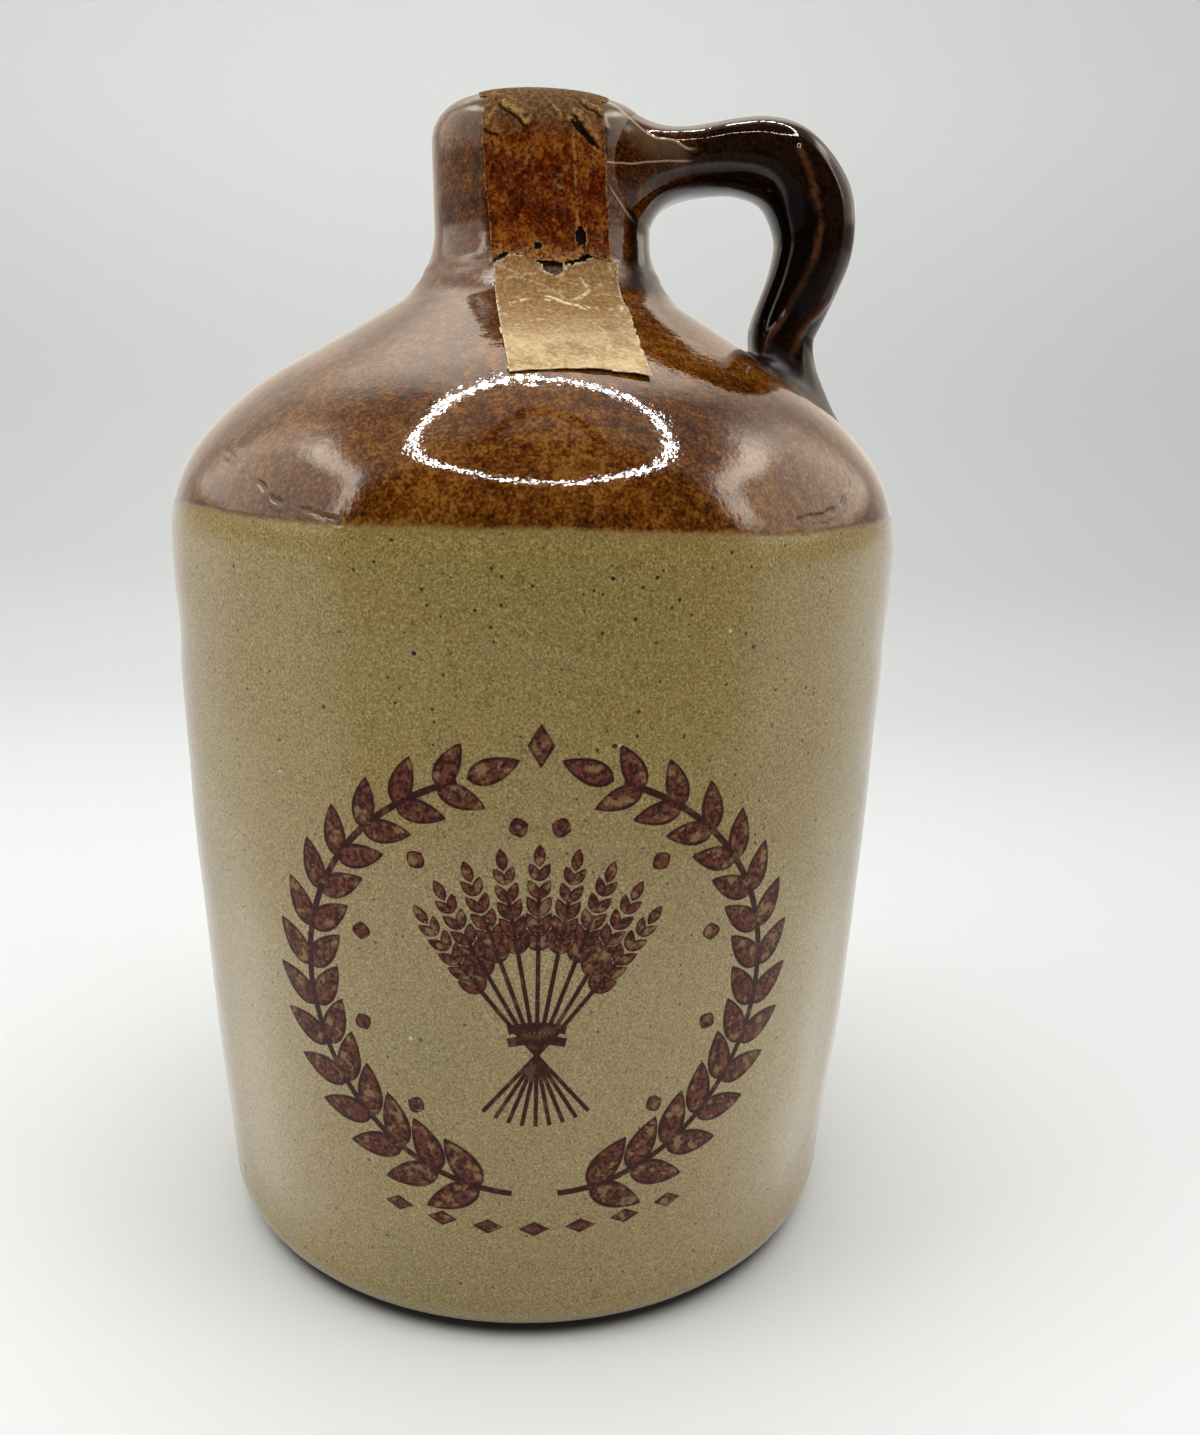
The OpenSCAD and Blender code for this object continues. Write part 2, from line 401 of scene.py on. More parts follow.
def carve_flaws(body):
    """Crawl lines in the glaze of the shoulder, and pits near the foot."""
    lines = [[slope_point(*place) for place in line] for line in (LEFT_CRAWL, RIGHT_CRAWL)]
    pits = [(slope_point(azimuth, height), size * MM) for azimuth, height, size in BASE_PITS]

    def near(co):
        if co.z > CRAWL_LOW:
            return co.z < CRAWL_TOP and min(off_line(co, line) for line in lines) < CRAWL_NEAR
        return co.z < PIT_TOP and min((co - spot).length for spot, size in pits) < PIT_NEAR

    refine(body, near, 5)
    values = []
    normals = [vertex.normal.copy() for vertex in body.data.vertices]
    for vertex, normal in zip(body.data.vertices, normals):
        flaw = 0
        if CRAWL_LOW < vertex.co.z < CRAWL_TOP:
            wobble = CRAWL_WANDER * noise.noise(vertex.co * 600)
            off = min(off_line(vertex.co, line) for line in lines) + wobble
            flaw = max(0, 1 - abs(off) / CRAWL_HALF)
            lip = 0.6 * max(0, 1 - abs(off - 1.3 * CRAWL_HALF) / CRAWL_HALF)
            vertex.co -= normal * CRAWL_DEPTH * (flaw - 0.5 * lip)
        elif vertex.co.z < PIT_TOP:
            for spot, size in pits:
                dent = max(0, 1 - (vertex.co - spot).length / size)
                vertex.co -= normal * 0.45 * size * dent ** 0.7
                flaw = max(flaw, 0.5 * dent)
        values.append(flaw)
    # The flaw attribute also sets the painted shade in the grooves and pits.
    mark_points(body, "flaw", values)


def shape_body():
    body = spin_body()
    group_where(body, "outside", outside_share)
    modify(body, "DISPLACE", texture=clouds("uneven wall", 34 * MM), strength=0.8 * MM,
           mid_level=0.8, vertex_group="outside")
    modify(body, "DISPLACE", texture=clouds("rippled glaze", 7 * MM), strength=0.08 * MM,
           mid_level=0.8, vertex_group="outside")
    carve_flaws(body)
    smooth(body)
    return body


def skin_of(obj):
    """The real surface of a piece, for rays."""
    mesh = obj.data
    return BVHTree.FromPolygons([vertex.co for vertex in mesh.vertices],
                                [tuple(face.vertices) for face in mesh.polygons])


REACH = 4 * MM


def settle_on(point, normal, lift):
    """The place over the body's real surface, along the normal through a point near it."""
    found = skin.ray_cast(point + normal * REACH, -normal, 2 * REACH)[0]
    return (found or point) + normal * lift


def surface_point(azimuth, run, lift):
    """A point over the jug's outside, at an azimuth in radians and a run from the mouth."""
    r, z, normal = on_meridian(run)
    point = Vector((r * math.sin(azimuth), -r * math.cos(azimuth), z))
    out = Vector((normal[0] * math.sin(azimuth), -normal[0] * math.cos(azimuth), normal[1]))
    return settle_on(point, out, lift)


# Strap handle

HANDLE_SIDES = 24
HANDLE_W = 12.8 * MM
STRAP_SQUARE = 0.78
CREST_H = JUG_H - 0.15 * MM
# Stations of the strap between its roots: outer x and drop from the crest, inner x and drop,
# in mm, and the width as a share of the strap's
STRAP = [
    (23.4, 1.0, 23.0, 9.9, 1.12),
    (26.6, 0.35, 25.6, 9.75, 1.03),
    (30.2, 0.0, 27.9, 10.05, 1.0),
    (34.6, 0.7, 30.1, 10.9, 1.0),
    (39.0, 3.6, 31.3, 12.5, 1.0),
    (42.4, 8.1, 32.1, 14.5, 1.0),
    (43.5, 13.3, 32.4, 16.2, 1.0),
    (43.2, 18.1, 32.0, 18.9, 1.0),
    (41.6, 22.5, 31.2, 21.7, 0.98),
    (39.9, 26.4, 30.2, 24.6, 0.96),
    (39.0, 28.4, 29.7, 26.4, 0.98),
]
# Each root's oval on the jug: the run of its middle, its half length and its half width
NECK_ROOT = (run_to_height(JUG_H - 7.3 * MM), 7.9 * MM, 13.6 * MM)
FOOT_ROOT = (run_to_radius(36.6 * MM), 9.8 * MM, 9.6 * MM)
# How far the strap keeps its own way, and the jug's, where it spreads into a root
NECK_SPREAD = (4.5 * MM, 4.5 * MM)
FOOT_SPREAD = (2.5 * MM, 3.2 * MM)
SPREAD_STEPS = (0.22, 0.44, 0.64, 0.82, 1.0)


def catmull(a, b, c, d, t):
    return tuple((2 * q + (r - p) * t + (2 * p - 5 * q + 4 * r - s) * t * t
                  + (3 * q - p - 3 * r + s) * t * t * t) / 2 for p, q, r, s in zip(a, b, c, d))


def smooth_rows(rows, steps):
    """A smooth run of rows through the given ones, some steps between each two."""
    last = len(rows) - 1
    line = []
    for i in range(last):
        near = [rows[min(max(i + k, 0), last)] for k in (-1, 0, 1, 2)]
        line += [catmull(*near, k / steps) for k in range(steps)]
    return line + [rows[last]]


def squared(share):
    """Rounds a circle's share towards a soft rectangle's."""
    return math.copysign(abs(share) ** STRAP_SQUARE, share)


def station(row):
    """Centre, half thickness towards the outer side, and half width of the strap."""
    outer = Vector((row[0] * MM, 0, CREST_H - row[1] * MM))
    inner = Vector((row[2] * MM, 0, CREST_H - row[3] * MM))
    return (outer + inner) / 2, (outer - inner) / 2, row[4] * HANDLE_W / 2


def strap_ring(row, sides):
    centre, half, wide = station(row)
    return [centre + half * out + Vector((0, across * wide, 0)) for out, across in sides]


def root_ring(root, side, sides, grow, lift):
    """A root's oval on the jug. Side is -1 where the strap's outer face is uppermost."""
    run, half_long, half_wide = root
    points = []
    for out, across in sides:
        along = run + side * out * half_long * grow
        r = max(on_meridian(along)[0], NECK_R)
        points.append(surface_point(math.pi / 2 + across * half_wide * grow / r, along, lift))
    return points


def spread(start, ahead, end, within, spreads, t):
    """A point of the curve by which the strap spreads on to the jug."""
    keep, arrive = spreads
    a = start + ahead * keep
    b = end + within * arrive
    u = 1 - t
    return start * u ** 3 + a * 3 * u * u * t + b * 3 * u * t * t + end * t ** 3


def extrude_ring(strap, ring, places):
    """Extrudes the strap's open ring and sets the new one, point by point."""
    choose(strap, lambda vertex: vertex.index in ring)
    bpy.ops.mesh.select_mode(type="EDGE")
    bpy.ops.mesh.extrude_region_move(TRANSFORM_OT_translate={"value": (0, 0, 0)})
    leave()
    total = len(strap.data.vertices)
    fresh = list(range(total - HANDLE_SIDES, total))
    matched = []
    for index in ring:
        spot = strap.data.vertices[index].co
        nearest = min(fresh, key=lambda k: (strap.data.vertices[k].co - spot).length)
        fresh.remove(nearest)
        matched.append(nearest)
    for index, place in zip(matched, places):
        strap.data.vertices[index].co = place
    return matched


def close_ring(strap, ring):
    choose(strap, lambda vertex: vertex.index in ring)
    bpy.ops.mesh.select_mode(type="EDGE")
    bpy.ops.mesh.fill_grid(span=6)
    leave()


def grow_root(strap, ring, before, sides, root, side, spreads):
    """Spreads the strap from its last ring on to the jug, and closes it under the glaze."""
    starts = [strap.data.vertices[index].co.copy() for index in ring]
    ends = root_ring(root, side, sides, 1, 0.02 * MM)
    inner = root_ring(root, side, sides, 0.9, 0.12 * MM)
    for t in SPREAD_STEPS:
        places = []
        for start, behind, end, within in zip(starts, before, ends, inner):
            ahead = (start - behind).normalized()
            places.append(spread(start, ahead, end, (within - end).normalized(), spreads, t))
        ring = extrude_ring(strap, ring, places)
    for grow, lift in ((1.07, -0.5 * MM), (0.8, -2.0 * MM)):
        ring = extrude_ring(strap, ring, root_ring(root, side, sides, grow, lift))
    close_ring(strap, ring)


# Two pulled ridges down the strap's sides: how far out, and how far below the rim, in mm
RIDGES = [
    [(34.3, 5.0), (35.2, 6.3), (36.1, 8.4), (37.4, 11.7), (38.0, 14.0), (37.5, 17.5), (36.2, 21.0),
     (34.6, 24.0), (33.4, 26.4), (32.1, 28.3), (31.6, 30.0)],
    [(40.6, 21.8), (40.1, 23.3), (38.7, 25.1), (37.1, 26.5), (36.1, 28.3), (35.6, 30.0), (35.3, 31.4)],
]
RIDGE_HALF = (0.62 * MM, 0.60 * MM)
RIDGE_RISE = 0.28 * MM
ridge_lines = [[Vector(place) * MM for place in line] for line in RIDGES]
# How far out the strap is clear of its upper root
STRAP_CLEAR = 25 * MM
# Middle of the handle's loop: how far out, and its height
LOOP_OUT = 29 * MM
LOOP_H = JUG_H - 19 * MM


def ridge_height(co):
    """How much of a ridge there is at a place on the strap, 0 to 1."""
    if co.x < STRAP_CLEAR:
        return 0
    spot = Vector((co.x, JUG_H - co.z))
    first, second = (off_line(spot, line) for line in ridge_lines)
    ridge = max(bump_at(first, 0, RIDGE_HALF[0]), 0.9 * bump_at(second, 0, RIDGE_HALF[1]))
    ridge *= smoothstep(2 * MM, 4.5 * MM, abs(co.y))
    return ridge * (0.45 + 0.55 * smoothstep(-0.30, 0.20, noise.noise(co * 300)))


def outer_share(co):
    """1 over the outer half of the strap's bend, where the glaze is thinner."""
    reach = math.hypot(co.z - LOOP_H, co.x - LOOP_OUT)
    return smoothstep(9.2 * MM, 11.4 * MM, reach + 0.8 * MM * noise.noise(co * 150))


def foot_share(co):
    """1 where the strap spreads on to the shoulder, where its glaze dried duller."""
    if co.x < STRAP_CLEAR:
        return 0
    r = min(math.hypot(co.x, co.y), BODY_R - 4 * MM)
    over = co.z - on_meridian(run_to_radius(r))[1]
    return 1 - smoothstep(2.5 * MM, 4.5 * MM, over)


def shape_handle():
    """The strap, drawn ring by ring along its stations and spread on to the jug at both ends."""
    rows = smooth_rows(STRAP, 3)
    bpy.ops.mesh.primitive_circle_add(vertices=HANDLE_SIDES, radius=1, location=(0, 0, 0))
    strap = named("handle_pulled")
    sides = [(squared(vertex.co.x), squared(vertex.co.y)) for vertex in strap.data.vertices]
    rings = [strap_ring(row, sides) for row in rows]
    for vertex, place in zip(strap.data.vertices, rings[0]):
        vertex.co = place
    first = list(range(HANDLE_SIDES))
    ring = first
    for places in rings[1:]:
        ring = extrude_ring(strap, ring, places)
    grow_root(strap, ring, rings[-2], sides, FOOT_ROOT, 1, FOOT_SPREAD)
    grow_root(strap, first, rings[1], sides, NECK_ROOT, -1, NECK_SPREAD)
    outward(strap)
    modify(strap, "SUBSURF", levels=2, render_levels=2)
    modify(strap, "DISPLACE", texture=clouds("hand pulled strap", 12 * MM), strength=0.3 * MM,
           mid_level=0.7)
    normals = [vertex.normal.copy() for vertex in strap.data.vertices]
    ridges = [ridge_height(vertex.co) for vertex in strap.data.vertices]
    for vertex, normal, ridge in zip(strap.data.vertices, normals, ridges):
        vertex.co += normal * RIDGE_RISE * ridge
    mark_points(strap, "ridge", ridges)
    mark_points(strap, "outer", [outer_share(vertex.co) for vertex in strap.data.vertices])
    mark_points(strap, "foot", [foot_share(vertex.co) for vertex in strap.data.vertices])
    smooth(strap)
    return strap


# Paper seal

PAPER_STEP = 0.2 * MM
PASTE_T = 0.05 * MM
# Runs from the mouth to the rim's rounding, to its end, to the tear and to the tail's end
RUN_ROUND = run_to_height(JUG_H - 0.5 * MM)
RUN_RIM = run_to_height(JUG_H - RIM_ROUND)
RUN_NECK_FOOT = run_to_height(NECK_FOOT - TEAR_DROP)
RUN_TAIL = run_to_radius(TAIL_REACH)


def ragged(x, seed, size, depth):
    """A wandering edge, in metres, the same on every run."""
    coarse = noise.noise(Vector((x / size, seed, 0)))
    fine = noise.noise(Vector((x / size * 4.7, seed, 5)))
    return depth * (coarse + 0.45 * fine)


def from_line(s, t, start, end):
    """The length of a line on the paper, and how far along and beside it a place is."""
    (s0, t0), (s1, t1) = start, end
    length = math.hypot(s1 - s0, t1 - t0)
    along = ((s - s0) * (s1 - s0) + (t - t0) * (t1 - t0)) / length
    beside = ((s - s0) * (t1 - t0) - (t - t0) * (s1 - s0)) / length
    return length, along, beside


def fold_height(s, t, fold):
    """Height of a crease that runs between two points of the paper."""
    start, end, height, half = fold
    length, along, beside = from_line(s, t, start, end)
    bend = 0.35 * MM * noise.noise(Vector((along / (2.2 * MM), start[0] * 900, start[1] * 900)))
    across = abs(beside + bend)
    ends = smoothstep(-half, half, along) * (1 - smoothstep(length - half, length + half, along))
    return height * ends * max(0, 1 - across / half) ** 1.3


def ledge(s, t, flap):
    """A turned-over flap: its height, a step along its line that dies away on the rim's side,
    and the shade under it, 0 to 1."""
    start, end, height, reach = flap
    length, along, beside = from_line(s, t, start, end)
    bend = 0.3 * MM * noise.noise(Vector((along / (1.4 * MM), start[0] * 900, start[1] * 900)))
    behind = beside + bend
    ends = smoothstep(-0.3 * MM, 0.4 * MM, along)
    ends *= 1 - smoothstep(length - 0.4 * MM, length + 0.3 * MM, along)
    step = smoothstep(-0.12 * MM, 0.12 * MM, behind) * (1 - smoothstep(0.2 * MM, reach, behind))
    shade = smoothstep(-0.60 * MM, -0.25 * MM, behind) * (1 - smoothstep(-0.15 * MM, 0, behind))
    return height * ends * step, ends * shade


def wrinkle(s, t, seed, size, lean):
    """Fine sinuous creases, as the crests of a noise drawn out along a slant."""
    along = (s * math.cos(lean) + t * math.sin(lean)) / (size * 2.6)
    across = (t * math.cos(lean) - s * math.sin(lean)) / size
    value = abs(noise.noise(Vector((along, across, seed))))
    return max(0, 1 - value / 0.10) ** 1.5


def paper(name, run_low, run_high, turn, keep, relief, lift):
    """A piece of the strip between two runs of the meridian. keep(s, t) says what is left of
    it, s across and t along in metres. relief(s, t) gives its creases' height and their wear,
    and below 0 the painted shade where they lie in shade. lift(s, t) is how far it stands off the glaze."""
    wide = SEAL_W * 1.10
    across = int(wide / PAPER_STEP)
    along = int((run_high - run_low) / PAPER_STEP)
    bpy.ops.mesh.primitive_grid_add(x_subdivisions=across, y_subdivisions=along, size=1)
    sheet = named(name)
    sheet.scale = (wide, run_high - run_low, 1)
    sheet.location = (0, (run_low + run_high) / 2, 0)
    settle(sheet)
    choose(sheet, lambda vertex: keep(vertex.co.x, vertex.co.y) < 0)
    bpy.ops.mesh.delete(type="VERT")
    bpy.ops.mesh.select_all(action="SELECT")
    bpy.ops.mesh.flip_normals()
    leave()
    wear_and_shade = []
    for vertex in sheet.data.vertices:
        s, t = vertex.co.x, vertex.co.y
        # The second value is wear above 0, and painted shade below 0.
        height, rubbed = relief(s, t)
        room = keep(s, t)
        curl = 0.05 * MM * (1 - smoothstep(0, 1.1 * MM, room))
        wear_and_shade.append(rubbed if rubbed < 0 else max(1 - smoothstep(0, 0.4 * MM, room), rubbed))
        r = on_meridian(t)[0]
        top = smoothstep(RUN_ROUND - 1 * MM, RUN_ROUND + 2 * MM, t)
        off = PASTE_T + lift(s, t) + (height + curl) * (0.12 + 0.88 * top)
        wrap = 1 - smoothstep(NECK_R + 1 * MM, NECK_R + 9 * MM, r)
        if t < RUN_RIM:
            wrap = smoothstep(NECK_R - RIM_ROUND, NECK_R, r)
        flat = math.atan2(s, r)
        azimuth = math.radians(turn(t)) + wrap * s / max(r, NECK_R) + (1 - wrap) * flat
        further = (1 - wrap) * (math.hypot(s, r) - r) * 1.1
        vertex.co = surface_point(azimuth, t + further, off)
    mark_points(sheet, "wear_and_shade", wear_and_shade)
    modify(sheet, "SOLIDIFY", thickness=SEAL_T, offset=1)
    smooth(sheet, 60)
    return sheet


def hole(s, t, middle_s, middle_t, half_s, half_t):
    """Negative inside an oval hole, in metres outside it."""
    reach = math.hypot((s - middle_s) / half_s, (t - middle_t) / half_t) - 1
    return reach * min(half_s, half_t)


# The tear across the front, as places across the strip and drops along it, in mm
TEAR = [(-10, 0.1), (-7.6, 0.0), (-6.0, -1.1), (-4.6, -0.8), (-2.6, 0.1), (1.6, 0.3), (3.2, -0.2),
        (4.6, -1.1), (6.2, -0.5), (10, 0.3)]


def tear_line(s):
    """How far along the strip the front is torn across, at a place across it."""
    for (s0, drop0), (s1, drop1) in zip(TEAR, TEAR[1:]):
        if s0 * MM <= s <= s1 * MM:
            share = (s / MM - s0) / (s1 - s0)
            drop = drop0 + (drop1 - drop0) * share
            return RUN_NECK_FOOT + drop * MM + ragged(s, 3.1, 1.5 * MM, 0.22 * MM)
    return RUN_NECK_FOOT


def side_room(s, t, seed):
    return SEAL_W / 2 - abs(s) + ragged(t, seed + (2 if s > 0 else 0), 4 * MM, 0.22 * MM)


def neck_gaps(s, t):
    """Negative inside the holes and the slit of the neck's paper."""
    room = hole(s, t, 3.9 * MM, RUN_NECK_FOOT - 3.3 * MM, 0.70 * MM, 1.1 * MM)
    room += ragged(t, 4.2, 1 * MM, 0.2 * MM)
    room = min(room, hole(s, t, -1.75 * MM, RUN_NECK_FOOT - 1.9 * MM, 0.42 * MM, 0.40 * MM))
    slit = hole(s - 1.1 * (t - RUN_RIM), t, 4.3 * MM, RUN_RIM + 0.7 * MM, 0.42 * MM, 1.3 * MM)
    return min(room, slit + ragged(t, 9.2, 1.2 * MM, 0.12 * MM))


def patch_gap(s, t):
    """Negative where a patch is missing under the tear."""
    gap = hole(s, t, -0.9 * MM, RUN_NECK_FOOT + 0.9 * MM, 1.4 * MM, 1.1 * MM)
    return gap + ragged(s, 12.2, 1 * MM, 0.35 * MM)


def neck_front_keep(s, t):
    return min(side_room(s, t, 1.3), tear_line(s) + 0.12 * MM - t, neck_gaps(s, t))


def shade_and_paste_keep(s, t):
    """Old paste with painted shade, left where the holes, the slit and the tear show it: a near black
    painted shadow in the holes, the slit and the crack along the tear, and paler paste under the missing
    patch.
    """
    crack = min(1.0 * MM - abs(t - tear_line(s)), SEAL_W / 2 - 0.25 * MM - abs(s))
    return max(0.6 * MM - min(neck_gaps(s, t), patch_gap(s, t)), crack)


def shade_and_paste_relief(s, t):
    """The paste is thinner, and so paler, under the missing patch."""
    return 0, smoothstep(0.45 * MM, 0.85 * MM, t - tear_line(s))


def tail_keep(s, t):
    bottom = RUN_TAIL + 0.02 * s + ragged(s, 6.6, 7 * MM, 0.12 * MM)
    cracked = 0.02 * MM + ragged(s, 31.5, 1.6 * MM, 0.20 * MM)
    room = min(side_room(s + 0.25 * MM, t, 5.4) + 0.3 * MM, t - tear_line(s) - cracked, bottom - t)
    return min(room, patch_gap(s, t))


def back_keep(s, t):
    return min(side_room(s, t, 15.4), RUN_TAIL + ragged(s, 16.6, 7 * MM, 0.12 * MM) - t)


def creases(run, rows):
    """Rows of a table, in mm and with their drops counted from a run, as starts, ends, heights
    and widths in metres."""
    return [((s0 * MM, run + t0 * MM), (s1 * MM, run + t1 * MM), height * MM, half * MM)
            for s0, t0, s1, t1, height, half in rows]


# Creases and flaps: place across the strip and drop along it, of the start and of the end,
# then height and width
neck_folds = creases(RUN_RIM, [
    (-7.4, -0.4, -5.4, -2.8, 0.20, 0.30),
    (0.4, -3.2, 2.4, -0.6, 0.16, 0.26),
    (3.4, -2.4, 4.6, -0.2, 0.20, 0.30),
    (-3.4, 5.6, -1.2, 2.6, 0.10, 0.30),
    (1.0, 6.2, 2.2, 7.6, 0.12, 0.30),
])
neck_flaps = creases(RUN_RIM, [
    (-5.8, -2.5, -1.8, 0.3, 0.30, 1.6),
    (-7.9, 0.2, -5.6, 1.2, 0.20, 1.2),
    (4.0, -1.4, 7.2, 2.2, 0.24, 1.4),
    (4.8, -3.1, 7.8, -1.5, 0.30, 1.2),
])
tail_folds = creases(RUN_NECK_FOOT, [
    (-2.4, 6.4, 2.4, 9.8, 0.20, 0.34),
    (1.0, 7.4, 3.6, 5.0, 0.18, 0.34),
    (3.6, 5.0, 2.6, 2.4, 0.12, 0.32),
    (6.9, 7.4, 7.3, 9.0, 0.10, 0.80),
])
# Where the overlap of the neck's paper lies across the strip
SEAM_AT = 3.8 * MM
# How far the paper stands off the glaze: the neck's at its lower end, the tail's at the tear
# and at its lower edge
NECK_LIFT = 0.14 * MM
TEAR_LIFT = 0.06 * MM
TAIL_LIFT = 0.22 * MM


def cockle(s, t, seed):
    return 0.10 * MM * (0.5 + noise.noise(Vector((s / (2.6 * MM), t / (2.6 * MM), seed))))


def neck_relief(s, t):
    """Creased over the rim and calmer further down, with an overlap along its right side."""
    folds = sum(fold_height(s, t, fold) for fold in neck_folds)
    ledges = [ledge(s, t, flap) for flap in neck_flaps]
    flaps = sum(height for height, shade in ledges)
    # Painted shade: under the flaps, and beside the overlap's edge.
    shade = max(shade for height, shade in ledges)
    seam = SEAM_AT + ragged(t, 21.4, 2 * MM, 0.16 * MM)
    joined = smoothstep(RUN_RIM + 0.4 * MM, RUN_RIM + 1.2 * MM, t)
    lap = 0.14 * MM * joined * smoothstep(seam - 0.1 * MM, seam + 0.12 * MM, s)
    shade = max(shade, 0.8 * joined * bump_at(s, seam + 0.30 * MM, 0.20 * MM))
    broken = smoothstep(-0.1, 0.2, noise.noise(Vector((0, t * 1300, 2))))
    lip = joined * bump_at(s, seam, 0.26 * MM) * (0.5 + 0.5 * broken)
    bent = 0.45 + 0.55 * (1 - smoothstep(RUN_RIM - 1 * MM, RUN_RIM + 3.5 * MM, t))
    fine = wrinkle(s, t, 3.3, 1.5 * MM, 0.7) + wrinkle(s, t, 8.1, 1.9 * MM, -0.9)
    height = folds + flaps + lap + 0.12 * MM * bent * fine + cockle(s, t, 2.2)
    edge = flaps / (0.30 * MM)
    low_end = 0.45 * smoothstep(RUN_NECK_FOOT - 2.6 * MM, RUN_NECK_FOOT - 0.3 * MM, t)
    wear_and_shade = min(1, folds / (0.22 * MM) + edge ** 3 + 0.9 * lip + 0.35 * bent * fine + low_end)
    return height, -shade if shade > 0.3 else wear_and_shade


def tail_relief(s, t):
    """Scratched across, and rubbed along one bend."""
    folds = sum(fold_height(s, t, fold) for fold in tail_folds)
    bend = RUN_NECK_FOOT + 8.0 * MM + 0.9 * MM * math.sin(s / (2.4 * MM))
    patchy = noise.noise(Vector((s / (0.9 * MM), 0, 4.4)))
    rub = bump_at(t, bend, 0.5 * MM) * smoothstep(0.05, 0.2, patchy)
    fine = wrinkle(s, t, 5.7, 2.2 * MM, 0.2)
    height = folds + 0.035 * MM * fine + cockle(s, t, 6.1)
    return height, min(1, folds / (0.16 * MM) + 0.8 * rub + 0.30 * fine)


def back_relief(s, t):
    fine = wrinkle(s, t, 11.3, 2.0 * MM, 0.5) + wrinkle(s, t, 14.9, 1.8 * MM, -0.7)
    bent = 0.3 + 0.7 * (1 - smoothstep(RUN_RIM - 1 * MM, RUN_RIM + 3 * MM, t))
    return 0.07 * MM * bent * fine + cockle(s, t, 9.4), 0.5 * bent * fine


def neck_lift(s, t):
    """The lower end stands off over the hollow of the neck's foot."""
    return NECK_LIFT * smoothstep(RUN_NECK_FOOT - 4 * MM, RUN_NECK_FOOT, t)


def tail_lift(s, t):
    """The tail lifts at the tear and along its lower edge."""
    return (TEAR_LIFT * (1 - smoothstep(RUN_NECK_FOOT, RUN_NECK_FOOT + 4 * MM, t))
            + TAIL_LIFT * smoothstep(RUN_TAIL - 3 * MM, RUN_TAIL, t) * smoothstep(-6 * MM, 6 * MM, s))


def neck_turn(t):
    """The strip leans towards the handle on its way down."""
    return 3.2 + 4.6 * smoothstep(RUN_RIM, RUN_NECK_FOOT, t)


def shade_and_paste_turn(t):
    """With the neck's paper above the tear, and with the tail's below it."""
    below = smoothstep(RUN_NECK_FOOT - 0.8 * MM, RUN_NECK_FOOT, t)
    return neck_turn(t) * (1 - below) + TAIL_TURN * below


def shape_seals():
    front = paper("seal_neck_front_torn", 0, RUN_NECK_FOOT + 2 * MM, neck_turn,
                  neck_front_keep, neck_relief, neck_lift)
    tail = paper("seal_tail_front_torn", RUN_NECK_FOOT - 3 * MM, RUN_TAIL + 1 * MM,
                 lambda t: TAIL_TURN, tail_keep, tail_relief, tail_lift)
    back = paper("seal_back_creased", 0, RUN_TAIL + 1 * MM, lambda t: 180 + SEAL_TURN,
                 back_keep, back_relief, lambda s, t: 0)
    # Old paste under the gaps, mostly near black as painted shade.
    paste = paper("seal_shade_and_paste_dry", RUN_RIM - 2 * MM, RUN_NECK_FOOT + 4 * MM, shade_and_paste_turn, shade_and_paste_keep,
                  shade_and_paste_relief, lambda s, t: -0.04 * MM)
    return front, tail, back, paste


def shape_crown():
    """The round of paper on the cork, flat on two sides."""
    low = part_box("seal_crown")[0]
    bpy.ops.mesh.primitive_grid_add(x_subdivisions=60, y_subdivisions=60, size=2)
    crown = named("seal_crown_creased")
    crown_r = BORE_R - SLIT
    crown.scale = (crown_r, crown_r, 1)
    crown.rotation_euler = Euler((0, 0, math.radians(SEAL_TURN)))
    crown.location = (0, 0, low[2] + 0.03 * MM)
    flat = SEAL_W / 2 - 0.1 * MM
    choose(crown, lambda vertex: vertex.co.xy.length > 0.985 or abs(vertex.co.x) * crown_r > flat)
    bpy.ops.mesh.delete(type="VERT")
    leave()
    settle(crown)
    mark_points(crown, "wear_and_shade", [0.5 * smoothstep(0.8, 1, vertex.co.xy.length / crown_r)
                                for vertex in crown.data.vertices])
    modify(crown, "DISPLACE", texture=clouds("crown cockle", 4 * MM), strength=0.10 * MM,
           mid_level=0.3)
    modify(crown, "SOLIDIFY", thickness=SEAL_T, offset=1)
    smooth(crown, 60)
    return crown


# Cork

CORK_TAPER = 1.1 * MM
CORK_CHAMFER = 0.6 * MM
CORK_INSET = 2.4 * MM
CORK_VOXEL = 0.3 * MM


def shape_cork():
    low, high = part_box("cork_stopper")
    top_r = high[0]
    bpy.ops.mesh.primitive_cylinder_add(vertices=96, radius=top_r, depth=high[2] - low[2],
                                        location=(0, 0, (low[2] + high[2]) / 2))
    cork = named("cork_stopper_grained")
    settle(cork)
    choose(cork, lambda vertex: vertex.co.z < (low[2] + high[2]) / 2)
    tip = 1 - CORK_TAPER / top_r
    bpy.ops.transform.resize(value=(tip, tip, 1), center_override=(0, 0, low[2]))
    leave()
    modify(cork, "BEVEL", width=CORK_CHAMFER, segments=3, limit_method="ANGLE",
           angle_limit=math.radians(50))
    choose_faces(cork, lambda face: len(face.vertices) > 4)
    bpy.ops.mesh.inset(thickness=CORK_INSET)
    bpy.ops.mesh.inset(thickness=CORK_INSET)
    bpy.ops.mesh.poke()
    leave()
    modify(cork, "REMESH", mode="VOXEL", voxel_size=CORK_VOXEL)
    modify(cork, "DISPLACE", texture=clouds("cork pores", 1.6 * MM, 3), strength=-0.22 * MM,
           mid_level=0.62)
    keep_inside(cork, top_r)
    smooth(cork, 60)
    return cork


def keep_inside(cork, top_r):
    """The squeezed cork is smooth where the bore grips it."""
    for vertex in cork.data.vertices:
        reach = vertex.co.xy.length
        if reach > top_r:
            vertex.co.xy *= top_r / reach


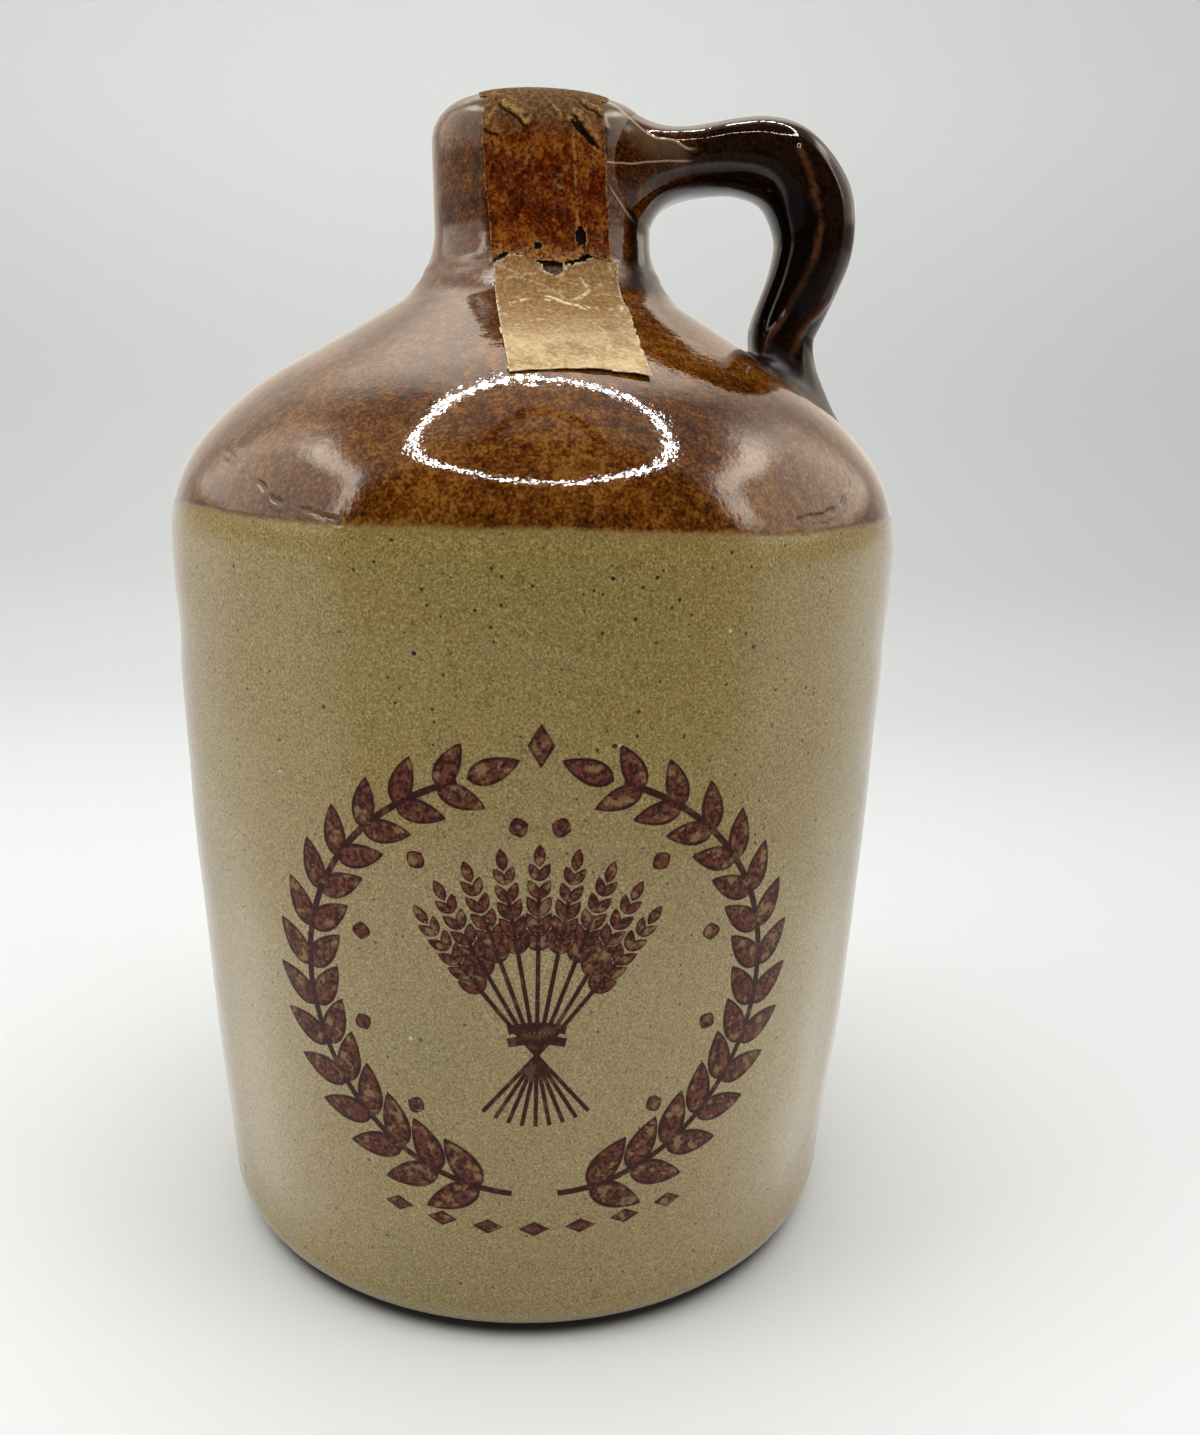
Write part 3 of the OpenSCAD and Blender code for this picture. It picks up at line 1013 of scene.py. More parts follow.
# Fired print: a wreath of leaves and berries about a tied sheaf, with small lozenges

PRINT_TURN = 4
PRINT_MIDDLE = 55 * MM
PRINT_LIFT = 0.045 * MM
WREATH_WIDE = 31 * MM
WREATH_HIGH = 29 * MM


def flat_grid(name, along, across):
    bpy.ops.mesh.primitive_grid_add(x_subdivisions=along, y_subdivisions=across, size=2)
    return named(name)


def leaf(name, length, width, point=0.75, along=12, across=6):
    """A leaf from the origin along X. The outline attribute is 1 on its edge and at its two ends."""
    obj = flat_grid(name, along, across)
    edge = []
    for vertex in obj.data.vertices:
        share = (vertex.co.x + 1) / 2
        side = vertex.co.y
        half = math.sin(math.pi * share ** point) ** 0.8 if 0 < share < 1 else 0
        vertex.co = (length * share, side * half * width / 2, 0)
        ends = max(0, 1 - 6 * share, 6 * share - 5)
        edge.append(max(abs(side) ** 3, ends))
    mark_points(obj, "outline", edge)
    return obj


def ribbon(name, points, width):
    """A band of even width along a line of points, in the plane of the print."""
    obj = flat_grid(name, len(points) - 1, 2)
    for vertex in obj.data.vertices:
        i = round((vertex.co.x + 1) / 2 * (len(points) - 1))
        before, after = points[max(i - 1, 0)], points[min(i + 1, len(points) - 1)]
        way = (Vector(after) - Vector(before)).normalized()
        side = vertex.co.y * width / 2
        vertex.co = (points[i][0] - way.y * side, points[i][1] + way.x * side, 0)
    mark_points(obj, "outline", [1.0] * len(obj.data.vertices))
    return obj


def stamp(source, u, v, turn=0.0, size=1.0, stretch=1.0):
    """A copy of a motif, turned and set down in the plane of the print."""
    twin = source.copy()
    twin.data = source.data.copy()
    bpy.context.collection.objects.link(twin)
    twin.data.transform(Matrix.Translation((u, v, 0)) @ Matrix.Rotation(turn, 4, "Z")
                        @ Matrix.Diagonal((size, size * stretch, 1, 1)))
    return twin


def oval(turn, grow=1.0):
    return (WREATH_WIDE * grow * math.sin(turn), -WREATH_HIGH * grow * math.cos(turn))


def wreath():
    """Two leafy branches that rise from below and nearly meet above."""
    blade = leaf("wreath_leaf", 8.2 * MM, 3.9 * MM)
    berry = leaf("wreath_berry", 2.1 * MM, 2.2 * MM, 1.0, 8, 6)
    parts = []
    for side in (-1, 1):
        stem = [oval(side * (0.10 + 2.72 * i / 60)) for i in range(61)]
        parts.append(ribbon("wreath_stem", stem, 0.85 * MM))
        for k in range(14):
            turn = side * (0.24 + 0.192 * k)
            here, ahead = Vector(oval(turn)), Vector(oval(turn + side * 0.05))
            way = math.atan2(ahead.y - here.y, ahead.x - here.x)
            size = 1.05 - 0.022 * k
            for lean in (-0.72, 0.72):
                parts.append(stamp(blade, here.x, here.y, way + lean, size))
            if k % 3 == 1:
                spot = Vector(oval(turn + side * 0.25, 0.76))
                parts.append(stamp(berry, spot.x, spot.y, way, 1.15))
        tip = oval(side * 2.86)
        parts.append(stamp(blade, tip[0], tip[1], math.radians(90 + side * 68), 0.82))
    for spare in (blade, berry):
        bpy.data.objects.remove(spare)
    return parts


def sheaf():
    """Ears of grain on a fan of stalks, tied in the middle."""
    grain = leaf("sheaf_grain", 3.4 * MM, 1.7 * MM, 0.9, 8, 4)
    parts = []
    tie = (0, -5.5 * MM)
    for k in range(-4, 5):
        lean = math.radians(9.5) * k
        reach = (19 - 0.42 * k * k) * MM
        way = Vector((math.sin(lean), math.cos(lean)))
        foot = Vector((math.sin(-lean * 0.85), -math.cos(lean * 0.85))) * 13 * MM
        start = Vector(tie) + Vector((k * 0.55 * MM, 0))
        points = []
        for i in range(13):
            share = i / 12
            low = (foot + Vector(tie)).lerp(start, min(share * 2.4, 1))
            high = way * reach * max(0, (share - 0.417) / 0.583)
            points.append(tuple(low + high))
        parts.append(ribbon("sheaf_stalk", points, 0.55 * MM))
        top = start + way * reach * 0.62
        for row in range(5):
            spot = top + way * 2.3 * MM * row
            for side in (-1, 1):
                parts.append(stamp(grain, spot.x, spot.y, math.pi / 2 - lean - side * 0.5,
                                   1 - 0.06 * row))
        last = top + way * 11 * MM
        parts.append(stamp(grain, last.x, last.y, math.pi / 2 - lean, 0.85))
    for drop in (-0.9, 0.9):
        band = [((i / 12 - 0.5) * 7.4 * MM, tie[1] + drop * MM + 0.5 * MM * math.sin(math.pi * i / 12))
                for i in range(13)]
        parts.append(ribbon("sheaf_tie", band, 1.25 * MM))
    bpy.data.objects.remove(grain)
    return parts


def lozenges():
    """Small lozenges in the wreath's gap, and in a row under it."""
    stone = leaf("print_lozenge", 4.2 * MM, 2.6 * MM, 1.0, 8, 4)
    for vertex in stone.data.vertices:
        share = vertex.co.x / (4.2 * MM)
        half = math.sin(math.pi * share) ** 0.8 if 0 < share < 1 else 1
        vertex.co.y *= (1 - abs(2 * share - 1)) / max(half, 1e-3)
    parts = [stamp(stone, 0, WREATH_HIGH + 0.5 * MM, math.pi / 2, 1.25)]
    for k in range(-3, 4):
        parts.append(stamp(stone, (6.4 * k - 2.1) * MM, -WREATH_HIGH - (5.6 - 0.22 * k * k) * MM, 0,
                           1.0, 0.9))
    bpy.data.objects.remove(stone)
    return parts


def on_wall(azimuth, height, lift):
    """A place over the jug's upright wall, at an azimuth in radians."""
    out = Vector((math.sin(azimuth), -math.cos(azimuth), 0))
    return settle_on(out * wall_radius(height) + Vector((0, 0, height)), out, lift)


def shape_print():
    """The flat print, laid on the jug's wall."""
    printed = join("fired_print", wreath() + sheaf() + lozenges())
    for vertex in printed.data.vertices:
        azimuth = math.radians(PRINT_TURN) + vertex.co.x / BODY_R
        vertex.co = on_wall(azimuth, PRINT_MIDDLE + vertex.co.y, PRINT_LIFT)
    smooth(printed, 60)
    return printed


# Iron specks that stand out, in degrees from the front, mm up, and mm across
SPECKS = [
    (-12.1, 97.1, 1.0), (13.3, 87.0, 1.1), (-2.0, 98.9, 0.6), (-17.1, 107.0, 0.7), (-10.3, 102.6, 0.6),
    (-4.3, 102.3, 0.7), (-22.4, 98.8, 0.6), (-35.0, 92.8, 0.7), (-14.2, 92.9, 0.5), (12.4, 106.1, 0.9),
    (18.0, 106.2, 0.8), (21.1, 103.7, 0.8), (15.4, 101.6, 0.8), (18.2, 98.9, 0.6), (32.6, 97.8, 0.9),
    (28.7, 93.5, 0.7), (41.7, 106.8, 0.6), (45.1, 91.5, 0.6), (2.9, 19.2, 0.7), (54.2, 17.3, 0.6),
    (-44.0, 60.0, 0.6), (62.0, 71.0, 0.7), (100.0, 84.0, 0.9), (128.0, 40.0, 0.7), (152.0, 96.0, 0.8),
    (177.0, 58.0, 0.7), (205.0, 88.0, 0.9), (228.0, 34.0, 0.6), (251.0, 77.0, 0.8), (279.0, 101.0, 0.7),
]
# Radius of a bead as a share of the speck's width
BEAD_SHARE = 0.3


def shape_specks():
    """Beads of iron that have come through the glaze."""
    beads = []
    for azimuth, height, width in SPECKS:
        bpy.ops.mesh.primitive_uv_sphere_add(segments=10, ring_count=6, radius=width * MM * BEAD_SHARE)
        bead = named("iron_bead")
        wobble = 1 + 0.35 * noise.noise(Vector((azimuth, height, 0)))
        bead.data.transform(Matrix.Diagonal((wobble, 0.12, 1 / wobble, 1)))
        turn = math.radians(azimuth)
        place = on_wall(turn, height * MM, 0)
        bead.data.transform(Matrix.Translation(place) @ Matrix.Rotation(turn, 4, "Z"))
        beads.append(bead)
    specks_piece = join("iron_specks", beads)
    smooth(specks_piece, 60)
    return specks_piece


# Materials


def add_node(tree, kind, settings=None, **inputs):
    """A shader node with its settings and its inputs, each a value or an output."""
    made = tree.nodes.new("ShaderNode" + kind)
    for key, value in (settings or {}).items():
        setattr(made, key, value)
    for key, value in inputs.items():
        socket = made.inputs[int(key[1:])] if key[1:].isdigit() else made.inputs[key.replace("_", " ")]
        if isinstance(value, bpy.types.NodeSocket):
            tree.links.new(value, socket)
        else:
            socket.default_value = value
    return made


def blank_material(name):
    material = bpy.data.materials.new(name)
    material.use_nodes = True
    tree = material.node_tree
    return material, tree, tree.nodes["Principled BSDF"]


def colour(r, g, b):
    return (r, g, b, 1)


def wire(tree, source, shader, name):
    tree.links.new(source, shader.inputs[name])


def ramp(tree, factor, *stops):
    """A colour ramp through (place, colour) stops."""
    made = add_node(tree, "ValToRGB", Fac=factor)
    elements = made.color_ramp.elements
    while len(elements) < len(stops):
        elements.new(0.5)
    for element, (place, shade) in zip(elements, stops):
        element.position = place
        element.color = shade
    return made.outputs["Color"]


def mix(tree, factor, a, b):
    made = add_node(tree, "Mix", {"data_type": "RGBA"}, _0=factor, _6=a, _7=b)
    return made.outputs[2]


def math_node(tree, operation, a, b=0.0, clamp=False):
    made = add_node(tree, "Math", {"operation": operation, "use_clamp": clamp}, _0=a, _1=b)
    return made.outputs[0]


def times(tree, a, b):
    return math_node(tree, "MULTIPLY", a, b)


def plus(tree, a, b):
    return math_node(tree, "ADD", a, b)


def minus(tree, a, b):
    return math_node(tree, "SUBTRACT", a, b)


def distance(tree, a, b):
    """How far apart two values are."""
    return math_node(tree, "ABSOLUTE", minus(tree, a, b))


def blur_noise(tree, vector, scale, detail=3, rough=0.55):
    made = add_node(tree, "TexNoise", None, Vector=vector, Scale=scale, Detail=detail, Roughness=rough)
    return made.outputs["Fac"]


def map_range(tree, value, low, high, out_low=0.0, out_high=1.0):
    made = add_node(tree, "MapRange", {"interpolation_type": "SMOOTHSTEP"}, _0=value, _1=low, _2=high,
                    _3=out_low, _4=out_high)
    return made.outputs[0]


def object_place(tree):
    return add_node(tree, "TexCoord").outputs["Object"]


def axes(tree, place):
    """X, Y and Z of a place."""
    return add_node(tree, "SeparateXYZ", None, Vector=place).outputs


def point_value(tree, name):
    """What mark_points wrote on the piece."""
    return add_node(tree, "Attribute", {"attribute_name": name}).outputs["Fac"]


def raise_bumps(tree, shader, height, strength, depth):
    bump = add_node(tree, "Bump", None, Strength=strength, Distance=depth, Height=height)
    wire(tree, bump.outputs["Normal"], shader, "Normal")


def start_group(name, inputs, outputs):
    """A shader node group with named sockets."""
    group = bpy.data.node_groups.new(name, "ShaderNodeTree")
    for key, kind in inputs:
        group.interface.new_socket(name=key, in_out="INPUT", socket_type=kind)
    for key, kind in outputs:
        group.interface.new_socket(name=key, in_out="OUTPUT", socket_type=kind)
    return group, group.nodes.new("NodeGroupInput").outputs, group.nodes.new("NodeGroupOutput").inputs


def speck_group():
    """Round specks of uneven size, scattered through a body."""
    group, given, wanted = start_group(
        "scattered specks", [("Vector", "NodeSocketVector"), ("Scale", "NodeSocketFloat"),
                             ("Size", "NodeSocketFloat"), ("Share", "NodeSocketFloat")],
        [("Mask", "NodeSocketFloat")])
    cells = add_node(group, "TexVoronoi", {"feature": "F1"}, Vector=given["Vector"], Scale=given["Scale"])
    pick = add_node(group, "SeparateColor", None, Color=cells.outputs["Color"])
    chosen = math_node(group, "LESS_THAN", pick.outputs[0], given["Share"])
    size = times(group, given["Size"], plus(group, pick.outputs[1], 0.4))
    near = minus(group, size, cells.outputs["Distance"])
    soft = math_node(group, "DIVIDE", near, times(group, size, 0.4), clamp=True)
    group.links.new(times(group, soft, chosen), wanted["Mask"])
    return group


def glaze_group():
    """Mottled brown glaze: its colour, and how it pools and thins."""
    group, given, wanted = start_group(
        "mottled glaze", [("Vector", "NodeSocketVector"), ("Depth", "NodeSocketFloat")],
        [("Color", "NodeSocketColor"), ("Height", "NodeSocketFloat")])
    broad = blur_noise(group, given["Vector"], 62, 3, 0.6)
    fine = blur_noise(group, given["Vector"], 700, 3, 0.6)
    grain = blur_noise(group, given["Vector"], 2300, 2, 0.6)
    blend = plus(group, times(group, broad, 0.30), times(group, fine, 0.30))
    blend = plus(group, blend, times(group, grain, 0.40))
    blend = minus(group, blend, given["Depth"])
    shade = ramp(group, blend, (0.37, colour(0.014, 0.003, 0.0006)), (0.44, colour(0.052, 0.012, 0.001)),
                 (0.51, colour(0.108, 0.032, 0.003)), (0.58, colour(0.200, 0.082, 0.012)))
    group.links.new(shade, wanted["Color"])
    group.links.new(blend, wanted["Height"])
    return group


def put_group(tree, group, **inputs):
    made = tree.nodes.new("ShaderNodeGroup")
    made.node_tree = group
    for key, value in inputs.items():
        if isinstance(value, bpy.types.NodeSocket):
            tree.links.new(value, made.inputs[key])
        else:
            made.inputs[key].default_value = value
    return made.outputs


specks = speck_group()
mottled = glaze_group()


def clay_colour(tree, place):
    """Oatmeal stoneware under clear glaze, with iron specks and pale pits."""
    cloud = blur_noise(tree, place, 24, 2, 0.5)
    grain = blur_noise(tree, place, 3400, 2, 0.6)
    sand = blur_noise(tree, place, 900, 3, 0.7)
    tint = blur_noise(tree, place, 27, 2, 0.5)
    base = ramp(tree, cloud, (0.34, colour(0.222, 0.164, 0.046)), (0.50, colour(0.240, 0.169, 0.050)),
                (0.66, colour(0.258, 0.190, 0.064)))
    base = mix(tree, map_range(tree, tint, 0.45, 0.65, 0.0, 0.32), base, colour(0.252, 0.150, 0.052))
    base = mix(tree, map_range(tree, sand, 0.50, 0.75, 0.0, 0.40), base, colour(0.140, 0.095, 0.026))
    base = mix(tree, map_range(tree, grain, 0.51, 0.68, 0.0, 0.70), base, colour(0.080, 0.052, 0.012))
    base = mix(tree, map_range(tree, grain, 0.48, 0.32, 0.0, 0.60), base, colour(0.430, 0.345, 0.145))
    iron = put_group(tree, specks, Vector=place, Scale=900.0, Size=0.19, Share=0.28)["Mask"]
    base = mix(tree, times(tree, iron, 0.95), base, colour(0.030, 0.018, 0.006))
    large = put_group(tree, specks, Vector=place, Scale=260.0, Size=0.075, Share=0.22)["Mask"]
    base = mix(tree, times(tree, large, 0.95), base, colour(0.020, 0.012, 0.008))
    pits = put_group(tree, specks, Vector=place, Scale=240.0, Size=0.055, Share=0.10)["Mask"]
    return mix(tree, times(tree, pits, 0.8), base, colour(0.60, 0.53, 0.36))


def dip_mask(tree, place):
    """1 above the wandering line to which the shoulder was dipped."""
    height = axes(tree, place)["Z"]
    slow = blur_noise(tree, place, 45, 2, 0.5)
    fine = blur_noise(tree, place, 1100, 3, 0.7)
    wander = plus(tree, times(tree, slow, 0.0022), times(tree, fine, 0.0011))
    level = plus(tree, height, wander)
    line = GLAZE_LINE + 0.00165
    return map_range(tree, level, line - 0.0004, line + 0.0004), level, line


# Threads of glaze at the handle's upper root, raised and painted pale as highlights: where
# each starts and ends outwards, and half its width
JOINT_THREAD = (8.0 * MM, 20.5 * MM, 0.17 * MM)
FOLD_THREAD = (8.4 * MM, 21.0 * MM, 0.26 * MM)
UNDER_THREAD = (9.0 * MM, 13.0 * MM, 0.26 * MM)


def root_marks(tree, place, base):
    """The colour with what lies about the handle's upper root: raised lines of glaze painted
    pale as highlights, and a painted reflection under the fold at the top. Also their mask."""
    spot = axes(tree, place)
    wander = times(tree, blur_noise(tree, place, 260, 2, 0.5), 0.0006)
    level = plus(tree, spot["Z"], wander)
    front = math_node(tree, "LESS_THAN", spot["Y"], 0.0)

    def thread(climb, start, end, half):
        off = distance(tree, level, climb)
        line = map_range(tree, off, half, 0.3 * half)
        line = times(tree, line, map_range(tree, spot["X"], end, end - 0.0020))
        return times(tree, line, map_range(tree, spot["X"], start, start + 0.0010))

    joint = plus(tree, times(tree, spot["X"], 0.12), 0.1536)
    fold = minus(tree, map_range(tree, spot["X"], 0.0085, 0.0156, 0.1619, 0.15835),
                 map_range(tree, spot["X"], 0.0172, 0.0198, 0.0, 0.0010))
    under = plus(tree, times(tree, spot["X"], -1.03), 0.1613)
    highlit_threads = math_node(tree, "MAXIMUM", thread(joint, *JOINT_THREAD), thread(fold, *FOLD_THREAD))
    highlit_threads = math_node(tree, "MAXIMUM", highlit_threads, thread(under, *UNDER_THREAD))
    highlit_threads = times(tree, highlit_threads, front)
    # Painted reflection, grey-brown, on the root's face under the fold.
    below = minus(tree, fold, level)
    thin = times(tree, map_range(tree, below, 0.0, 0.0003), map_range(tree, below, 0.0042, 0.0006))
    thin = times(tree, thin, map_range(tree, spot["X"], 0.0205, 0.0180, 0.0, 0.45))
    thin = times(tree, thin, front)
    base = mix(tree, thin, base, colour(0.140, 0.094, 0.050))
    # Painted highlights along the raised lines of glaze.
    base = mix(tree, times(tree, highlit_threads, 0.85), base, colour(0.33, 0.22, 0.14))
    return base, highlit_threads


# Heights between which the dip thickens up the neck, and where the neck's foot is dull
NECK_THICK = (138 * MM, 150 * MM)
DULL_H = 140.8 * MM


def body_material():
    material, tree, shader = blank_material("fired stoneware")
    place = object_place(tree)
    dipped, level, line = dip_mask(tree, place)
    pooled = map_range(tree, level, line + 0.0045, line + 0.0004)
    neck = map_range(tree, level, *NECK_THICK)
    depth = plus(tree, times(tree, pooled, 0.012), times(tree, neck, 0.035))
    brown = put_group(tree, mottled, Vector=place, Depth=depth)
    clay = clay_colour(tree, place)
    halo = map_range(tree, level, line - 0.0016, line, 0.0, 0.45)
    clay = mix(tree, halo, clay, colour(0.20, 0.115, 0.040))
    flaw = point_value(tree, "flaw")
    # Painted shade in the crawl grooves and the pits.
    cleft_shade = map_range(tree, flaw, 0.20, 0.65, 0.0, 0.9)
    skin_colour = mix(tree, dipped, clay, brown["Color"])
    spot = axes(tree, place)
    # Painted shade on the neck, in the hollow under the handle's upper root.
    crook_shade = times(tree, map_range(tree, spot["X"], 0.0112, 0.0126),
                  map_range(tree, spot["Z"], 0.1380, 0.1405))
    crook_shade = times(tree, crook_shade, map_range(tree, spot["Z"], 0.1530, 0.1505, 0.0, 0.85))
    skin_colour = mix(tree, crook_shade, skin_colour, colour(0.0040, 0.0016, 0.0009))
    skin_colour, seam = root_marks(tree, place, skin_colour)
    wire(tree, mix(tree, cleft_shade, skin_colour, colour(0.060, 0.022, 0.006)), shader, "Base Color")
    foot = distance(tree, spot["Z"], DULL_H)
    dusty = map_range(tree, foot, 0.0032, 0.0008, 0.0, 0.22)
    gloss = plus(tree, map_range(tree, dipped, 0.0, 1.0, 0.17, 0.055), dusty)
    wire(tree, gloss, shader, "Roughness")
    peel = blur_noise(tree, place, 420, 3, 0.6)
    lump = plus(tree, times(tree, dipped, 1.2), peel)
    lump = plus(tree, lump, times(tree, seam, 1.5))
    raise_bumps(tree, shader, lump, 0.25, 0.0002)
    shader.inputs["IOR"].default_value = 1.47
    return material


def ink_material():
    """Red-brown ink, dark along each outline and mottled with clay inside."""
    material, tree, shader = blank_material("fired brown ink")
    place = object_place(tree)
    grain = blur_noise(tree, place, 1500, 3, 0.7)
    patch = blur_noise(tree, place, 620, 3, 0.6)
    outline = point_value(tree, "outline")
    solid = map_range(tree, outline, 0.15, 0.70)
    ink = mix(tree, map_range(tree, grain, 0.40, 0.60), colour(0.130, 0.040, 0.022),
              colour(0.030, 0.006, 0.004))
    ink = mix(tree, map_range(tree, solid, 0.0, 1.0, 0.0, 0.85), ink, colour(0.024, 0.004, 0.003))
    bare = map_range(tree, patch, 0.52, 0.64, 0.0, 0.85)
    bare = times(tree, bare, map_range(tree, solid, 0.0, 1.0, 1.0, 0.30))
    wire(tree, mix(tree, bare, ink, colour(0.215, 0.135, 0.060)), shader, "Base Color")
    shader.inputs["Roughness"].default_value = 0.35
    shader.inputs["Specular IOR Level"].default_value = 0.10
    return material


def bead_material():
    material, tree, shader = blank_material("iron bead")
    tone = blur_noise(tree, object_place(tree), 900, 2, 0.6)
    wire(tree, ramp(tree, tone, (0.35, colour(0.006, 0.004, 0.004)), (0.65, colour(0.030, 0.018, 0.010))),
         shader, "Base Color")
    shader.inputs["Roughness"].default_value = 0.2
    return material


def handle_material():
    material, tree, shader = blank_material("pooled brown glaze")
    place = object_place(tree)
    brown = put_group(tree, mottled, Vector=place, Depth=0.05)
    out = axes(tree, place)["X"]
    root = map_range(tree, out, 0.024, 0.014, 0.0, 0.9)
    outer = point_value(tree, "outer")
    thinner = times(tree, outer, map_range(tree, brown["Height"], 0.36, 0.56, 0.0, 0.5))
    dark = mix(tree, thinner, colour(0.0030, 0.0012, 0.0007), colour(0.030, 0.009, 0.003))
    dark = mix(tree, root, dark, brown["Color"])
    ridge = point_value(tree, "ridge")
    thin = times(tree, ridge, map_range(tree, brown["Height"], 0.34, 0.50, 0.25, 0.85))
    dark = mix(tree, thin, dark, colour(0.120, 0.042, 0.015))
    dark, seam = root_marks(tree, place, dark)
    wire(tree, dark, shader, "Base Color")
    foot = point_value(tree, "foot")
    wire(tree, map_range(tree, foot, 0.0, 1.0, 0.055, 0.30), shader, "Roughness")
    lump = plus(tree, blur_noise(tree, place, 420, 3, 0.6), times(tree, seam, 2.0))
    raise_bumps(tree, shader, lump, 0.14, 0.0002)
    shader.inputs["IOR"].default_value = 1.45
    shader.inputs["Specular IOR Level"].default_value = 0.26
    return material


def paper_material(name, tones, scuff, aged_and_sheen, sheen):
    """Old strip paper: blotched, fibrous, toned by height, rubbed pale on folds and edges, and
    darkened by painted shade under the flaps and beside the overlap. The toning is given as the
    height where it starts, where it is full, and its tones: an age stain on the pale paper, and a
    painted sheen over the rim on the stained paper."""
    material, tree, shader = blank_material(name)
    place = object_place(tree)
    blotch = blur_noise(tree, place, 260, 4, 0.75)
    fibre = blur_noise(tree, place, 1900, 4, 0.75)
    blend = plus(tree, times(tree, blotch, 0.55), times(tree, fibre, 0.45))
    base = ramp(tree, blend, (0.41, tones[0]), (0.50, tones[1]), (0.59, tones[2]))
    # Toned high up: an age stain on the pale paper, a painted sheen over the rim on the stained paper.
    height = axes(tree, place)["Z"]
    height = plus(tree, height, times(tree, blotch, 0.004))
    age_and_sheen_share = map_range(tree, height, aged_and_sheen[0] + 0.002, aged_and_sheen[1] + 0.002)
    base = mix(tree, times(tree, age_and_sheen_share, 0.88), base,
               mix(tree, map_range(tree, fibre, 0.42, 0.60), aged_and_sheen[2], aged_and_sheen[3]))
    wear_and_shade = point_value(tree, "wear_and_shade")
    rubbed = math_node(tree, "MULTIPLY", wear_and_shade, map_range(tree, fibre, 0.36, 0.58), clamp=True)
    stain = put_group(tree, specks, Vector=place, Scale=210.0, Size=0.30, Share=0.10)["Mask"]
    base = mix(tree, times(tree, stain, 0.45), base, colour(0.09, 0.06, 0.035))
    # Painted shade under the flaps and beside the overlap, from the negative part of the attribute.
    shaded = map_range(tree, wear_and_shade, -0.25, -0.75, 0.0, 0.9)
    base = mix(tree, shaded, mix(tree, rubbed, base, scuff), colour(0.014, 0.006, 0.002))
    wire(tree, base, shader, "Base Color")
    wire(tree, map_range(tree, blotch, 0.3, 0.7, 0.55, 0.75), shader, "Roughness")
    shader.inputs["Specular IOR Level"].default_value = sheen
    raise_bumps(tree, shader, blend, 0.8, 0.0003)
    return material


def shade_and_paste_material():
    material, tree, shader = blank_material("dry paste and painted shade")
    tone = blur_noise(tree, object_place(tree), 1500, 3, 0.6)
    thinned = point_value(tree, "wear_and_shade")
    # Painted shade: near black where the holes, the slit and the tear show this sheet; paler paste where
    # it is thinned under the missing patch.
    deep_shade = ramp(tree, tone, (0.40, colour(0.004, 0.002, 0.001)), (0.66, colour(0.018, 0.009, 0.005)))
    thin = ramp(tree, tone, (0.40, colour(0.040, 0.024, 0.013)), (0.62, colour(0.110, 0.074, 0.046)))
    wire(tree, mix(tree, thinned, deep_shade, thin), shader, "Base Color")
    shader.inputs["Roughness"].default_value = 0.9
    shader.inputs["Specular IOR Level"].default_value = 0.05
    return material


def cork_material():
    material, tree, shader = blank_material("natural cork")
    place = object_place(tree)
    grain = blur_noise(tree, place, 700, 4, 0.7)
    base = ramp(tree, grain, (0.32, colour(0.30, 0.16, 0.07)), (0.50, colour(0.50, 0.31, 0.16)),
                (0.70, colour(0.62, 0.42, 0.24)))
    pores = put_group(tree, specks, Vector=place, Scale=330.0, Size=0.22, Share=0.45)["Mask"]
    wire(tree, mix(tree, times(tree, pores, 0.8), base, colour(0.10, 0.045, 0.02)),
         shader, "Base Color")
    wire(tree, map_range(tree, grain, 0.3, 0.7, 0.9, 0.7), shader, "Roughness")
    raise_bumps(tree, shader, grain, 0.5, 0.0003)
    return material


def dress(obj, material, body, slot_name, *nodes):
    """Gives a finished piece its material, its body and the nodes it stands for. The slot name is not
    used.
    """
    obj.data.materials.clear()
    obj.data.materials.append(material)
    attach(obj, body)
    if nodes:
        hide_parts(*nodes)


# The stained paper's tone over the rim is a painted sheen; the pale paper's tone high up is an age stain.
stained = paper_material(
    "stained strip paper",
    (colour(0.026, 0.003, 0.0002), colour(0.100, 0.013, 0.0003), colour(0.250, 0.080, 0.009)),
    colour(0.40, 0.22, 0.075),
    (0.1560, 0.1600, colour(0.080, 0.040, 0.014), colour(0.150, 0.088, 0.038)), 0.02)
pale = paper_material(
    "pale strip paper",
    (colour(0.300, 0.182, 0.072), colour(0.485, 0.328, 0.160), colour(0.615, 0.465, 0.262)),
    colour(0.86, 0.72, 0.48),
    (0.1300, 0.1368, colour(0.150, 0.066, 0.014), colour(0.285, 0.148, 0.038)), 0.10)

jug_body = shape_body()
skin = skin_of(jug_body)
dress(jug_body, body_material(), "jug", "stoneware", "jug_body")
fired_print = shape_print()
dress(fired_print, ink_material(), "jug", "stoneware")
iron_specks = shape_specks()
dress(iron_specks, bead_material(), "jug", "stoneware")
handle = shape_handle()
dress(handle, handle_material(), "jug", "brown_glaze", "handle")
seal_front, seal_tail, seal_back, seal_shade_and_paste = shape_seals()
dress(seal_front, stained, "jug", "stained_paper", "seal_neck_front")
dress(seal_tail, pale, "jug", "pale_paper", "seal_shoulder_front")
dress(seal_back, pale, "jug", "pale_paper", "seal_back")
dress(seal_shade_and_paste, shade_and_paste_material(), "jug", "stained_paper")
crown = shape_crown()
dress(crown, stained, "stopper", "stained_paper", "seal_crown")
cork = shape_cork()
dress(cork, cork_material(), "stopper", "cork", "cork_stopper")


# Studio


def flat_material(name, shade):
    material, _, shader = blank_material(name)
    shader.inputs["Base Color"].default_value = shade
    shader.inputs["Roughness"].default_value = 0.9
    return material


